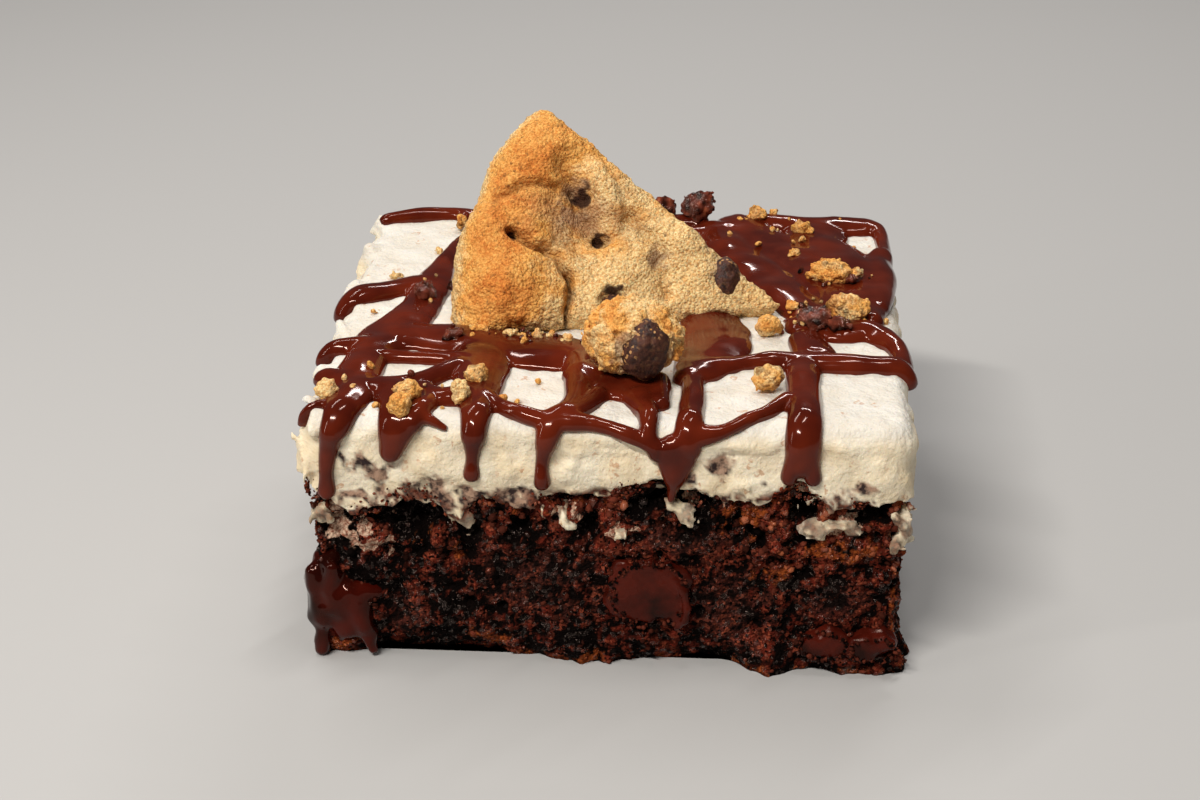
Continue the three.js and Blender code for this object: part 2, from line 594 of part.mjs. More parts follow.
show("cookie_wedge", withPockets(wedgeSolid(0), WEDGE_CHIPS, chipSolid), COOKIE);
show("cookie_chunk", withPockets(chunkSolid(0), CHUNK_CHIPS, chipSolid), COOKIE);
Object.entries({ ...WEDGE_CHIPS, ...CHUNK_CHIPS }).forEach(([name, chip]) =>
  show(name, chipSolid(chip, 0), DARK_CHOCOLATE),
);

export default cake;
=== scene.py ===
# A square of iced chocolate brownie with drizzle, a leaning wedge of cookie and crumbs.
# Forms are worked out in millimetres and turned into metres when a piece is made.
import itertools
import math
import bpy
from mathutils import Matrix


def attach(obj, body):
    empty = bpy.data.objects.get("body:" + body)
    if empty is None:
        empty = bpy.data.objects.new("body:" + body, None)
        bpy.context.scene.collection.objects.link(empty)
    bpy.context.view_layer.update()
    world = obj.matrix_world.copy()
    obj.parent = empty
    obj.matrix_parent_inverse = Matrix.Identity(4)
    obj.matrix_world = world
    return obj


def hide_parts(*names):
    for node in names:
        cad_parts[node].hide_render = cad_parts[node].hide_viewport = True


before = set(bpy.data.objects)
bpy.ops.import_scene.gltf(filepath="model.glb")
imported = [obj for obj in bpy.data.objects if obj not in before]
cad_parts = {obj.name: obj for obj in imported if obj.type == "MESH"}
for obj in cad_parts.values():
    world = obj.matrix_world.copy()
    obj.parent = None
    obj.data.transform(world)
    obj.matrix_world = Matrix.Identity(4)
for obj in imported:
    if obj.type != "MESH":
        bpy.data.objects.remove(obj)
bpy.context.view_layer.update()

from types import SimpleNamespace

import bmesh
import bpy
import numpy as np
import openvdb
from mathutils import Matrix, Vector

MM = 0.001

# The square, as in the solids.
WIDTH = 80.0
DEPTH = 78.0
HEIGHT = 36.3
SEAM = 25.2
CORNER = 2.6
EDGE = 2.4
SEAM_INSET = 7.0
GAP = 0.3

# Mesh spacing of the larger pieces.
BROWNIE_STEP = 0.36
ICING_STEP = 0.46
DRIZZLE_STEP = 0.33
COOKIE_STEP = 0.27
CHUNK_STEP = 0.2
FUDGE_STEP = 0.25
CRUMB_STEP = 0.22

# The camera, solved from the square's corners.
CAMERA_AT = (12.884, -320.683, 166.293)
CAMERA_TURN = math.radians(-2.8)
CAMERA_DOWN = math.radians(24.2)
CAMERA_ROLL = math.radians(0.4)
CAMERA_LENS = 72.0
CAMERA_SENSOR = 36.0

FAR = 9.0  # a field's value well outside everything


# Numbers and shapes.

def smooth(low, high, value):
    """From 0 to 1 as the value passes from low to high, with soft ends."""
    t = np.clip((value - low) / (high - low), 0, 1)
    return t * t * (3 - 2 * t)


def bell(distance, spread):
    return np.exp(-((distance / spread) ** 2))


def smooth_max(a, b, reach):
    """The larger of two fields, with the crease between them rounded over the given reach."""
    near = np.maximum(reach - np.abs(a - b), 0) / reach
    return np.maximum(a, b) + near * near * reach / 4


def smooth_min(a, b, reach):
    return -smooth_max(-a, -b, reach)


def uneven(x, y, z, size):
    """The solids' smooth uneven value from -1 to 1, with bumps about three times size across."""
    a, b, c = x / size, y / size, z / size
    across = np.sin(2.1 * a + 1.3 * np.sin(1.7 * b + 0.5))
    along = np.sin(2.3 * b + 1.3 * np.sin(1.9 * c + 1.1))
    up = np.sin(2.2 * c + 1.3 * np.sin(1.8 * a + 2.3))
    return (across + along + up) / 3


LATTICE_SIZE = 64
LATTICE_RANDOM = np.random.default_rng(11)
LATTICE = LATTICE_RANDOM.uniform(-1, 1, (LATTICE_SIZE,) * 3).astype(np.float32)
SCATTER = LATTICE_RANDOM.uniform(0.1, 0.9, (LATTICE_SIZE,) * 3 + (3,)).astype(np.float32)


def noise(p, size, shift=0.0):
    """Smooth random value from -1 to 1 with bumps about as large as size. A shift gives other bumps."""
    q = np.asarray(p, dtype=np.float32) / size + np.float32(shift)
    cell = np.floor(q)
    t = q - cell
    t = t * t * (3 - 2 * t)
    low = cell.astype(np.int32) & (LATTICE_SIZE - 1)
    high = (low + 1) & (LATTICE_SIZE - 1)
    total = 0
    for (a, near_a), (b, near_b), (c, near_c) in itertools.product(((low, 1 - t), (high, t)), repeat=3):
        share = near_a[..., 0] * near_b[..., 1] * near_c[..., 2]
        total = total + LATTICE[a[..., 0], b[..., 1], c[..., 2]] * share
    return total


def layered(p, size, layers=3, shift=0.0):
    """Noise with finer noise added on top, each layer half as large and half as strong."""
    total = 0
    for layer in range(layers):
        total = total + noise(p, size / 2**layer, shift + 7.3 * layer) / 2**layer
    return total


def grains(p, size):
    """Distance to the nearest of the points scattered one to a cell, as a share of the cell."""
    q = np.asarray(p, dtype=np.float32) / size
    base = np.floor(q).astype(np.int32)
    nearest = np.full(q.shape[:-1], FAR, dtype=np.float32)
    for step in itertools.product((-1, 0, 1), repeat=3):
        cell = base + np.array(step, dtype=np.int32)
        wrapped = cell & (LATTICE_SIZE - 1)
        seed = SCATTER[wrapped[..., 0], wrapped[..., 1], wrapped[..., 2]]
        away = cell + seed - q
        nearest = np.minimum(nearest, np.einsum("...i,...i->...", away, away))
    return np.sqrt(nearest)


def curve(route, steps=6):
    """Points along a smooth curve through the route's points."""
    points = np.array(route, dtype=float)
    ends = np.vstack([2 * points[0] - points[1], points, 2 * points[-1] - points[-2]])
    found = []
    for i in range(1, len(ends) - 2):
        before, start, end, after = ends[i - 1 : i + 3]
        for t in np.linspace(0, 1, steps, endpoint=False):
            bend = 2 * before - 5 * start + 4 * end - after
            twist = 3 * start - before - 3 * end + after
            found.append(start + ((end - before) * t + bend * t**2 + twist * t**3) / 2)
    found.append(points[-1])
    return np.array(found)


def nearest_on(x, y, start, end):
    """The nearest place of a straight stretch, as a share of its length, and how far off it is."""
    along = end[:2] - start[:2]
    length = max(along @ along, 1e-9)
    t = np.clip(((x - start[0]) * along[0] + (y - start[1]) * along[1]) / length, 0, 1)
    return t, np.hypot(x - start[0] - t * along[0], y - start[1] - t * along[1])


def flat_places(x, y):
    """Points at height 0, for noise over a flat face."""
    return np.stack([x, y, 0 * x], axis=-1)


def rod_field(p, start, end, radius_start, radius_end):
    """Distance outside a rod whose thickness changes evenly from end to end."""
    a, b = np.array(start), np.array(end)
    along = b - a
    t = np.clip(((p - a) @ along) / (along @ along), 0, 1)
    away = p - a - t[..., None] * along
    return np.linalg.norm(away, axis=-1) - radius_start - t * (radius_end - radius_start)


def ball_field(p, centre, half):
    """About the distance outside an ellipsoid."""
    q = (p - np.array(centre)) / np.array(half)
    return (np.linalg.norm(q, axis=-1) - 1) * min(half)


def surface(field, low, high, step, *given):
    """The points and faces where a field, negative inside, crosses zero."""
    low = np.array(low, dtype=float)
    counts = np.ceil((np.array(high) - low) / step).astype(int) + 1
    axes = [low[i] + step * np.arange(counts[i]) for i in range(3)]
    places = np.stack(np.meshgrid(*axes, indexing="ij"), axis=-1).astype(np.float32)
    volume = openvdb.FloatGrid(1.0)
    volume.copyFromArray(np.ascontiguousarray(field(places, *given), dtype=np.float32))
    points, faces = volume.convertToQuads(isovalue=0.0)
    return low + points * step, faces


def joined(parts):
    """Several meshes, each points and faces, as one of triangles."""
    points, faces, count = [], [], 0
    for part_points, part_faces in parts:
        if part_faces.shape[1] == 4:
            part_faces = np.vstack([part_faces[:, [0, 1, 2]], part_faces[:, [0, 2, 3]]])
        points.append(part_points)
        faces.append(part_faces + count)
        count += len(part_points)
    return np.vstack(points), np.vstack(faces)


# Materials.

class Look:
    """A material whose nodes are added one call at a time."""

    def __init__(self, name):
        self.material = bpy.data.materials.new(name)
        self.material.use_nodes = True
        self.tree = self.material.node_tree
        self.shader = self.tree.nodes["Principled BSDF"]
        self.places = self.tree.nodes.new("ShaderNodeTexCoord").outputs["Object"]

    def put(self, value, socket):
        if isinstance(value, bpy.types.NodeSocket):
            self.tree.links.new(value, socket)
        else:
            socket.default_value = value

    def set(self, name, value):
        self.put(value, self.shader.inputs[name])

    def node(self, kind, output, inputs, **settings):
        """One output of a new node with the given inputs and settings."""
        node = self.tree.nodes.new(f"ShaderNode{kind}")
        for name, value in settings.items():
            setattr(node, name, value)
        for name, value in inputs.items():
            self.put(value, node.inputs[name])
        return node.outputs[output]

    def noise(self, size, detail=4.0, roughness=0.55):
        """Noise with bumps about as large as size, in millimetres."""
        inputs = {"Vector": self.places, "Scale": 1 / (size * MM), "Detail": detail, "Roughness": roughness}
        return self.node("TexNoise", "Fac", inputs)

    def cells(self, size, output="Distance"):
        return self.node("TexVoronoi", output, {"Vector": self.places, "Scale": 1 / (size * MM)})

    def cell_shade(self, size):
        """One random value for each cell."""
        return self.node("SeparateColor", "Red", {"Color": self.cells(size, "Color")})

    def shade(self, name):
        """A value painted on the mesh's points."""
        return self.node("Attribute", "Fac", {}, attribute_name=name)

    def math(self, what, a, b=0.0):
        return self.node("Math", "Value", {0: a, 1: b}, operation=what)

    def between(self, value, low, high, start=0.0, end=1.0):
        """The value, stretched so that low to high becomes start to end, and kept there."""
        inputs = {"Value": value, "From Min": low, "From Max": high, "To Min": start, "To Max": end}
        return self.node("MapRange", "Result", inputs)

    def mix(self, share, a, b):
        return self.node("Mix", 2, {"Factor": share, 6: a, 7: b}, data_type="RGBA")

    def blend(self, value, dark, light, low=0.35, high=0.65):
        """From one screen colour to another as the value passes from low to high."""
        return self.mix(self.between(value, low, high), colour(*dark), colour(*light))

    def bump(self, height, depth, under=None):
        """Surface relief from a height of 0 to 1, as deep as depth, in millimetres."""
        inputs = {"Strength": 1.0, "Distance": depth * MM, "Height": height}
        if under is not None:
            inputs["Normal"] = under
        return self.node("Bump", "Normal", inputs)

    def gloss(self, roughness, level, tint=(1, 1, 1, 1)):
        self.set("Roughness", roughness)
        self.set("Specular IOR Level", level)
        self.set("Specular Tint", tint)

    def soften(self, weight, radius, scale):
        """Let light a little way under the surface."""
        self.set("Subsurface Weight", weight)
        self.set("Subsurface Radius", radius)
        self.set("Subsurface Scale", scale)


def colour(red, green, blue):
    """A colour given as the screen's 0 to 255 values, for a shader."""
    linear = []
    for screen in (red, green, blue):
        light = screen / 255
        linear.append(((light + 0.055) / 1.055) ** 2.4 if screen > 10 else light / 12.92)
    return (*linear, 1.0)


WARM_GLINT = (1.0, 0.74, 0.64, 1.0)


def brownie_look():
    look = Look("brownie_crumb")
    grain = look.cell_shade(0.4)
    fine = look.noise(0.5)
    tone = look.shade("tone")
    satin = look.shade("satin")
    # The tone value carries the crumb's own shades and painted shade in its hollows and torn places.
    crumb = look.blend(tone, (4, 1, 1), (124, 44, 29), 0.3, 0.9)
    close = look.blend(tone, (14, 6, 5), (84, 40, 32), 0.25, 0.75)
    crumb = look.mix(satin, crumb, close)
    lit = look.math("MULTIPLY", look.between(grain, 0.7, 0.93), look.between(tone, 0.3, 0.8))
    crumb = look.mix(lit, crumb, colour(156, 76, 52))
    # Painted shade: near-black cells stand in for small shaded pores in the crumb.
    crumb = look.mix(look.between(grain, 0.34, 0.12, 0.0, 0.95), crumb, colour(3, 1, 1))
    crust = look.blend(fine, (92, 32, 14), (164, 82, 36))
    ragged = look.between(look.noise(0.9, 3), 0.35, 0.65, -0.3, 0.3)
    crumb = look.mix(look.between(look.math("ADD", look.shade("crust"), ragged), 0.3, 0.7), crumb, crust)
    smear = look.blend(fine, (156, 98, 76), (226, 192, 164), 0.4, 0.6)
    rubbed = look.between(look.math("ADD", look.shade("smear"), ragged), 0.42, 0.6)
    look.set("Base Color", look.mix(rubbed, crumb, smear))
    wet = look.cell_shade(0.6)
    level = look.between(wet, 0.79, 0.85, 0.08, 0.7)
    look.gloss(look.between(wet, 0.79, 0.85, 0.85, 0.2), level, WARM_GLINT)
    rough = look.bump(look.cells(0.42), -0.4)
    look.set("Normal", look.bump(look.noise(0.25), 0.2, under=rough))
    return look.material


def grain_look():
    look = Look("brownie_grains")
    shade = look.shade("tone")
    # The grains' tone holds their own colour and painted shade taken from the crumb.
    crumb = look.blend(shade, (5, 2, 2), (116, 54, 38), 0.15, 0.75)
    look.set("Base Color", look.mix(look.between(shade, 0.75, 1.0), crumb, colour(168, 92, 60)))
    wet = look.shade("wet")
    level = look.between(wet, 0.7, 0.72, 0.08, 0.7)
    look.gloss(look.between(wet, 0.7, 0.72, 0.8, 0.18), level, WARM_GLINT)
    look.set("Normal", look.bump(look.noise(0.3), 0.22))
    return look.material


def icing_look():
    look = Look("buttercream")
    soft = look.noise(5.0, 3)
    fine = look.noise(0.7)
    # The sides get a yellower cream than the top, standing in for how differently they are lit: painted
    # light and shade on one cream.
    top = look.blend(soft, (222, 213, 197), (231, 225, 213))
    side = look.blend(soft, (238, 217, 180), (246, 233, 206))
    cream = look.mix(look.shade("side"), top, side)
    chosen = look.between(look.cell_shade(1.1), 0.91, 0.96)
    speck = look.math("MULTIPLY", chosen, look.between(fine, 0.48, 0.6))
    cream = look.mix(look.math("MULTIPLY", speck, 0.6), cream, colour(190, 128, 78))
    mud = look.blend(look.noise(1.3), (44, 24, 20), (172, 138, 114), 0.42, 0.58)
    cream = look.mix(look.shade("smudge"), cream, mud)
    dirt = look.blend(fine, (46, 20, 15), (124, 66, 42), 0.4, 0.6)
    look.set("Base Color", look.mix(look.shade("crumbed"), cream, dirt))
    look.gloss(look.between(fine, 0.3, 0.7, 0.5, 0.72), 0.35)
    look.soften(0.18, (1.0, 0.75, 0.5), 0.0012)
    wavy = look.bump(look.noise(2.4, 3), 0.3)
    look.set("Normal", look.bump(look.noise(0.6, 5), 0.2, under=wavy))
    return look.material


def drizzle_look():
    look = Look("drizzle_chocolate")
    soft = look.noise(6.0, 2)
    brown = look.blend(soft, (72, 19, 8), (98, 31, 13))
    look.set("Base Color", brown)
    look.gloss(look.between(look.noise(3.0, 2), 0.3, 0.7, 0.08, 0.13), 0.34, (1.0, 0.7, 0.62, 1.0))
    look.set("Normal", look.bump(look.noise(9.0, 0), 0.4))
    return look.material


def cookie_look():
    look = Look("cookie_crust")
    sand = look.noise(0.35, 4, 0.7)
    blotch = look.noise(3.0)
    pale = look.blend(sand, (216, 154, 86), (255, 231, 170))
    golden = look.blend(sand, (206, 128, 50), (255, 196, 110))
    brown = look.blend(sand, (186, 96, 34), (242, 158, 74))
    bake = look.math("ADD", look.shade("bake"), look.between(blotch, 0.3, 0.7, -0.25, 0.25))
    baked = look.mix(look.between(bake, 0.1, 0.5), pale, golden)
    baked = look.mix(look.between(bake, 0.55, 1.0), baked, brown)
    cocoa = look.blend(sand, (104, 74, 62), (186, 150, 122))
    baked = look.mix(look.shade("cocoa"), baked, cocoa)
    speck = look.between(look.cell_shade(0.45), 0.9, 0.95, 0.0, 0.75)
    baked = look.mix(look.math("MULTIPLY", speck, look.between(sand, 0.4, 0.6)), baked, colour(112, 66, 32))
    # The dark value is painted shade in the wedge's cracks, partly painted shade and partly chocolate in
    # its pits, and dark spots on the crumbs.
    look.set("Base Color", look.mix(look.shade("dark"), baked, colour(52, 26, 19)))
    look.gloss(look.between(sand, 0.3, 0.7, 0.75, 0.95), 0.2)
    look.soften(0.08, (1.0, 0.5, 0.2), 0.0008)
    rough = look.bump(look.cells(0.45), -0.28)
    look.set("Normal", look.bump(look.noise(0.25, 3), 0.2, under=rough))
    return look.material


def chip_look():
    look = Look("baked_chip")
    fine = look.noise(0.8)
    dark = look.blend(fine, (36, 17, 12), (86, 48, 34))
    dust = look.math("MULTIPLY", look.between(look.cell_shade(0.34), 0.76, 0.82), look.shade("dust"))
    look.set("Base Color", look.mix(dust, dark, colour(204, 150, 92)))
    look.gloss(look.between(fine, 0.3, 0.7, 0.4, 0.7), 0.3)
    look.set("Normal", look.bump(look.noise(0.4, 3), 0.2))
    return look.material


def fudge_look():
    look = Look("melted_fudge")
    soft = look.noise(6.0, 1)
    look.set("Base Color", look.blend(soft, (22, 4, 2), (68, 13, 5)))
    look.gloss(0.1, 0.28, (1.0, 0.6, 0.5, 1.0))
    look.set("Normal", look.bump(look.noise(4.0, 1), 0.2))
    return look.material


def lump_look():
    look = Look("chocolate_lump")
    soft = look.noise(4.0, 2)
    look.set("Base Color", look.blend(soft, (30, 7, 4), (76, 20, 10)))
    look.gloss(look.between(soft, 0.35, 0.65, 0.16, 0.28), 0.2, WARM_GLINT)
    look.set("Normal", look.bump(look.noise(0.9), 0.14))
    return look.material


def placed(name, data):
    """A new object in the scene."""
    item = bpy.data.objects.new(name, data)
    bpy.context.scene.collection.objects.link(item)
    return item


def add_piece(name, mesh, material, slot, replaces=(), **shades):
    """A new object from points in millimetres and faces, riding on the brownie."""
    points, faces = mesh
    data = bpy.data.meshes.new(name)
    data.from_pydata((np.asarray(points) * MM).tolist(), [], np.asarray(faces).tolist())
    data.shade_smooth()
    data.materials.append(material)
    for shade, values in shades.items():
        painted = data.attributes.new(shade, "FLOAT", "POINT")
        painted.data.foreach_set("value", np.ascontiguousarray(values, dtype=np.float32))
    data.update()
    piece = placed(name, data)
    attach(piece, "root")
    if replaces:
        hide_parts(*replaces)


# The seam between brownie and icing.

FRONT_BAND = 3.0  # width of the strip that turns from the sides to the cut front
FRONT_SEAM = [
    # place along the front, rise, half width
    (-34, -3.0, 4.5), (-20, -3.0, 2.8), (-12, -1.2, 3.0), (5, 1.8, 4.5), (25, 2.2, 3.0),
]


def on_cut_front(y):
    """From 0 to 1 as a place comes onto the cut front."""
    return smooth(FRONT_BAND - DEPTH / 2, FRONT_BAND / 2 - DEPTH / 2, y)


def seam_height(x, y):
    """The height of the seam where it shows, the same as the solids'."""
    on_front = bell(y + DEPTH / 2, 6)
    front = sum(rise * bell(x - place, spread) for place, rise, spread in FRONT_SEAM)
    side = 1.1 * uneven(x, y, 9, 3)
    return SEAM + 0.7 * uneven(x, y, 0, 5) + on_front * front + (1 - on_front) * side


CORNER_POINTS = 24


def outline(count):
    """Points evenly round the square, anticlockwise, and each point's outward direction."""
    dense = []
    for side_x, side_y, start in ((1, -1, -90), (1, 1, 0), (-1, 1, 90), (-1, -1, 180)):
        for turn in np.radians(np.linspace(start, start + 90, CORNER_POINTS)):
            x = side_x * (WIDTH / 2 - CORNER) + CORNER * math.cos(turn)
            y = side_y * (DEPTH / 2 - CORNER) + CORNER * math.sin(turn)
            dense.append((x, y))
    dense.append(dense[0])
    dense = np.array(dense)
    lengths = np.concatenate([[0], np.cumsum(np.hypot(*np.diff(dense, axis=0).T))])
    at = np.linspace(0, lengths[-1], count, endpoint=False)
    points = np.stack([np.interp(at, lengths, side) for side in dense.T], axis=1)
    along = np.roll(points, -1, axis=0) - np.roll(points, 1, axis=0)
    along /= np.hypot(along[:, 0], along[:, 1])[:, None]
    return points, np.stack([along[:, 1], -along[:, 0]], axis=1)


# The brownie.

CRUMB_REACH = 0.9  # how far the crumb goes on up behind the icing's ragged edge
HOLLOWS = [
    # across the front, height, radius, depth
    (-24, 22.0, 2.9, 2.0), (6.7, 25.4, 1.7, 3.6), (11.8, 25.2, 2.7, 4.2), (26, 24.4, 2.4, 4.2),
    (-5.5, 24.8, 1.6, 1.6), (-34, 21.5, 1.6, 1.2), (-18.1, 8.6, 0.9, 1.8), (-13.8, 8.4, 0.7, 1.4),
    (-24.1, 11.0, 0.8, 1.4), (-27.5, 18.2, 0.9, 1.4), (12.6, 8.5, 1.1, 1.2), (20, 7.0, 1.0, 1.2),
    (31, 13.5, 1.8, 1.0),
]
FRONT_FOOT = [
    # across the front, how far the foot stands out there
    (-40, 0.5), (-36, -0.5), (-30, -2.8), (-15, -2.8), (-3, 0.9), (5, -0.9), (14, -3.2), (22, 2.6),
    (28, 0.2), (38, 1.8), (41, 2.4),
]
SMEARS = [
    # icing rubbed into the cut front: across, height, half sizes
    (-35.4, 19.6, 4.2, 2.4), (-31.6, 17.2, 3.4, 1.4), (-19.3, 21.5, 1.5, 1.6), (-6, 22.6, 2.0, 1.3),
    (2.2, 20.4, 2.4, 1.2), (30, 21.8, 3.2, 1.3), (39.2, 21.5, 1.6, 3.2),
]
CRUSTS = [
    # red-brown crusty patches in the cut front: across, height, half sizes
    (-15.7, 3.4, 3.4, 1.9), (-2, 1.2, 2.6, 1.1), (22.4, 14.2, 3.2, 1.6), (-19.8, 17.3, 1.2, 1.9),
    (-25, 18.8, 2.4, 1.6), (18.5, 22.5, 3.0, 3.0), (31, 18.2, 7.5, 1.7), (39, 11, 1.0, 8.0),
    (-36, 2, 3.0, 1.4),
]
SATINS = [
    # moist, close crumb in the cut front: across, height, half sizes
    (-9, 12.5, 9.5, 7.0), (-27, 6.0, 3.0, 3.0), (17, 9.0, 6.0, 6.5), (10, 18.8, 8.0, 2.6),
    (30, 10.5, 7.0, 3.4),
]


def patches(x, z, places, rough):
    """How far inside any of the patches a point of the front lies, from 0 at the edge."""
    inside = np.full(np.shape(x), -FAR)
    for across, height, half_x, half_z in places:
        away = np.hypot((x - across) / half_x, (z - height) / half_z)
        inside = np.maximum(inside, 1 - away)
    return inside + rough


FOOT_HEIGHT = 5.0
CLUMP_SIZE = 2.1
GRAIN_SIZE = 0.95
FINE_SIZE = 0.45
RING_INSETS = (3.0, SEAM_INSET, 20.0)
MIDDLE_SHADE = 0.3  # of the underside's and the hidden top's middle points


def crumb_places(base):
    """What the crumb is like at places of the brownie's plain sides."""
    x, y, z = np.moveaxis(base, -1, 0)
    crumb = SimpleNamespace(front=bell(y + DEPTH / 2, 3), on_front=on_cut_front(y))
    crumb.rag = 0.5 * layered(base, 1.3, 2, 9.1)
    satin = smooth(0.0, 0.5, patches(x, z, SATINS, crumb.rag)) * crumb.on_front
    beside = (1 - crumb.on_front) * smooth(0.1, 0.5, layered(base, 9.0, 2, 60.0))
    crumb.satin = np.maximum(satin, beside)
    crumb.loose = 1 - 0.62 * crumb.satin
    crumb.high = smooth(13, 20, z)
    crumb.torn = smooth(0.15, 0.5, layered(base, 3.2, 2, 3.7)) * (0.5 + crumb.high)
    crumb.clump = 0.5 - grains(base, CLUMP_SIZE)
    crumb.grain = 0.5 - grains(base, GRAIN_SIZE)
    crumb.fine = noise(base, FINE_SIZE)
    crumb.hollow = 0
    for across, height, radius, depth in HOLLOWS:
        crumb.hollow = crumb.hollow + depth * bell(np.hypot(x - across, z - height), radius) ** 2
    return crumb


def crumb_relief(base, crumb):
    """How far the crumb stands out of the brownie's plain sides."""
    x, y, z = np.moveaxis(base, -1, 0)
    crags = 0.75 * uneven(x, y, z, 3.1) + 0.55 * uneven(x, y, z, 1.5)
    side_foot = 1.6 * (0.35 + 0.8 * uneven(x, y, 3, 4.2))
    front_foot = np.interp(x, *zip(*FRONT_FOOT))
    foot = (1 - crumb.front) * side_foot + crumb.front * front_foot
    foot = foot * np.clip(1 - z / FOOT_HEIGHT, 0, 1)
    rough = 1.6 * crumb.clump + 0.7 * crumb.grain + 0.18 * crumb.fine
    rough = rough * (0.5 + 0.7 * crumb.high) - 0.9 * crumb.torn
    tops = smooth(-0.5, 2.0, seam_height(x, y) - z)
    relief = crags * (0.5 + 0.5 * crumb.loose) + foot - crumb.front * crumb.hollow - 1.0
    relief = relief + crumb.loose * rough * (0.4 + 0.6 * tops)
    lumps = [(middle[0], middle[2], half[0], half[2]) for _, middle, half, *_ in LUMPS]
    sunk = smooth(0.0, 0.25, patches(x, z, lumps, 0.1 * crumb.rag)) * crumb.on_front
    return relief * (1 - sunk) - 0.9 * sunk


def crumb_shades(base, points, crumb):
    """How light the crumb is painted, with painted shade in hollows and torn places and lighter clump tops;
    and where it is smeared with icing, crusty or close.
    """
    x, y, z = np.moveaxis(base, -1, 0)
    near_seam = bell(seam_height(x, y) - z, 3.6)
    # The tone holds painted shade as well as the crumb's own varied colour: darker in torn places and the
    # front's hollows, lighter on clump tops.
    tone = 0.4 + crumb.loose * (0.8 * crumb.clump - 0.55 * crumb.torn) + 0.5 * crumb.grain
    tone = tone + 0.25 * crumb.fine + 0.12 * crumb.high - 0.45 * crumb.front * crumb.hollow
    tone = tone + 0.2 * noise(base, 5.0, 4.1) + 0.22 * noise(base, 2.2, 8.1)
    smear = 0.85 * smooth(0.0, 0.6, patches(x, z, SMEARS, 1.6 * crumb.rag)) * crumb.on_front
    flecks = smooth(0.4, 0.58, layered(base, 1.9, 3, 15.0) + 0.22 * near_seam - 0.1)
    smear = np.maximum(smear, 0.9 * flecks * near_seam)
    crust = 0.9 * smooth(0.0, 0.6, patches(x, z, CRUSTS, 1.4 * crumb.rag)) * crumb.on_front
    foot_edge = 0.7 * smooth(1.8, 0.2, z) * (0.6 + 0.4 * noise(base, 1.5, 6.0))
    corner = 0.35 * smooth(38.6, 40.0, np.abs(points[..., 0]))
    crust = np.max([crust, foot_edge, corner, 0.3 * crumb.high * near_seam], axis=0)
    # The crust is darkened by the tone's painted shade too.
    crust = np.clip(crust * (0.25 + 1.3 * tone), 0, 1)
    return {"tone": np.clip(tone, 0, 1), "smear": smear, "crust": crust, "satin": crumb.satin}


def brownie_piece():
    """The brownie's crumb. It gives what the loose grains need: points, outward direction, shades."""
    at, out = outline(round(2 * (WIDTH + DEPTH) / BROWNIE_STEP))
    rows = round(SEAM / BROWNIE_STEP) + 1
    x = np.broadcast_to(at[:, 0], (rows, len(at)))
    y = np.broadcast_to(at[:, 1], (rows, len(at)))
    z = np.linspace(0, 1, rows)[:, None] * (seam_height(x, y) + CRUMB_REACH)
    base = np.stack([x, y, z], axis=-1)
    crumb = crumb_places(base)
    points = base.copy()
    points[..., :2] += out * crumb_relief(base, crumb)[..., None]
    points[..., 2] += 0.16 * noise(base, 0.7, 21.0) * smooth(0, 1, z)
    points[..., 2] = np.maximum(points[..., 2], 0)
    shades = crumb_shades(base, points, crumb)
    rings = [points]
    for inset in RING_INSETS:
        flat = flat_places(*at.T * (1 - 2 * inset / WIDTH))
        top = flat.copy()
        top[:, 2] = SEAM - GAP if inset >= SEAM_INSET else points[-1, :, 2] - CRUMB_REACH
        rings = [flat[None], *rings, top[None]]
    painted = {}
    for name, values in shades.items():
        padded = np.pad(values, ((len(RING_INSETS),) * 2, (0, 0)), mode="edge")
        painted[name] = np.concatenate([padded.ravel(), [MIDDLE_SHADE] * 2])
    mesh = ring_mesh(np.concatenate(rings))
    add_piece("brownie_crumb", mesh, brownie_look(), "brownie", ["brownie"], **painted)
    return points, out, shades


def ring_mesh(body):
    """A closed mesh of triangles through rings of points, with a middle point at each end."""
    levels, count = body.shape[:2]
    index = np.arange(levels * count).reshape(levels, count)
    turned = np.roll(index, -1, axis=1)
    a, b, c, d = index[:-1], turned[:-1], turned[1:], index[1:]
    sides = np.stack([[a, b, c], [a, c, d]]).transpose(0, 2, 3, 1).reshape(-1, 3)
    bottom = np.full(count, levels * count)
    floor = np.stack([bottom, turned[0], index[0]], axis=-1)
    roof = np.stack([bottom + 1, index[-1], turned[-1]], axis=-1)
    return np.vstack([body.reshape(-1, 3), body[[0, -1]].mean(axis=1)]), np.vstack([sides, floor, roof])


def small_ball(subdivisions):
    """The points and faces of a ball of 20 triangles, or of 80 for two subdivisions."""
    shape = bmesh.new()
    bmesh.ops.create_icosphere(shape, subdivisions=subdivisions, radius=1)
    points = np.array([v.co[:] for v in shape.verts])
    faces = np.array([[v.index for v in f.verts] for f in shape.faces])
    shape.free()
    return points, faces


def scattered(places, sizes, seed, subdivisions=2, flattest=0.75):
    """An uneven crumb at each place, turned at random, and each crumb's number for every point."""
    ball, faces = small_ball(subdivisions)
    random = np.random.default_rng(seed)
    amount = len(places)
    bumps = 1 + 0.6 * noise(ball * 0.9 + random.uniform(0, 50, (amount, 1, 3)), 1.0)[..., None]
    stretch = random.uniform(flattest, 1.2, (amount, 1, 3))
    turns = np.linalg.qr(random.normal(size=(amount, 3, 3)))[0]
    turns *= np.sign(np.linalg.det(turns))[:, None, None]
    points = (ball * bumps * stretch) @ turns * sizes[:, None, None] + places[:, None]
    numbers = np.arange(amount)
    faces = faces + (numbers * len(ball))[:, None, None]
    return (points.reshape(-1, 3), faces.reshape(-1, 3)), np.repeat(numbers, len(ball))


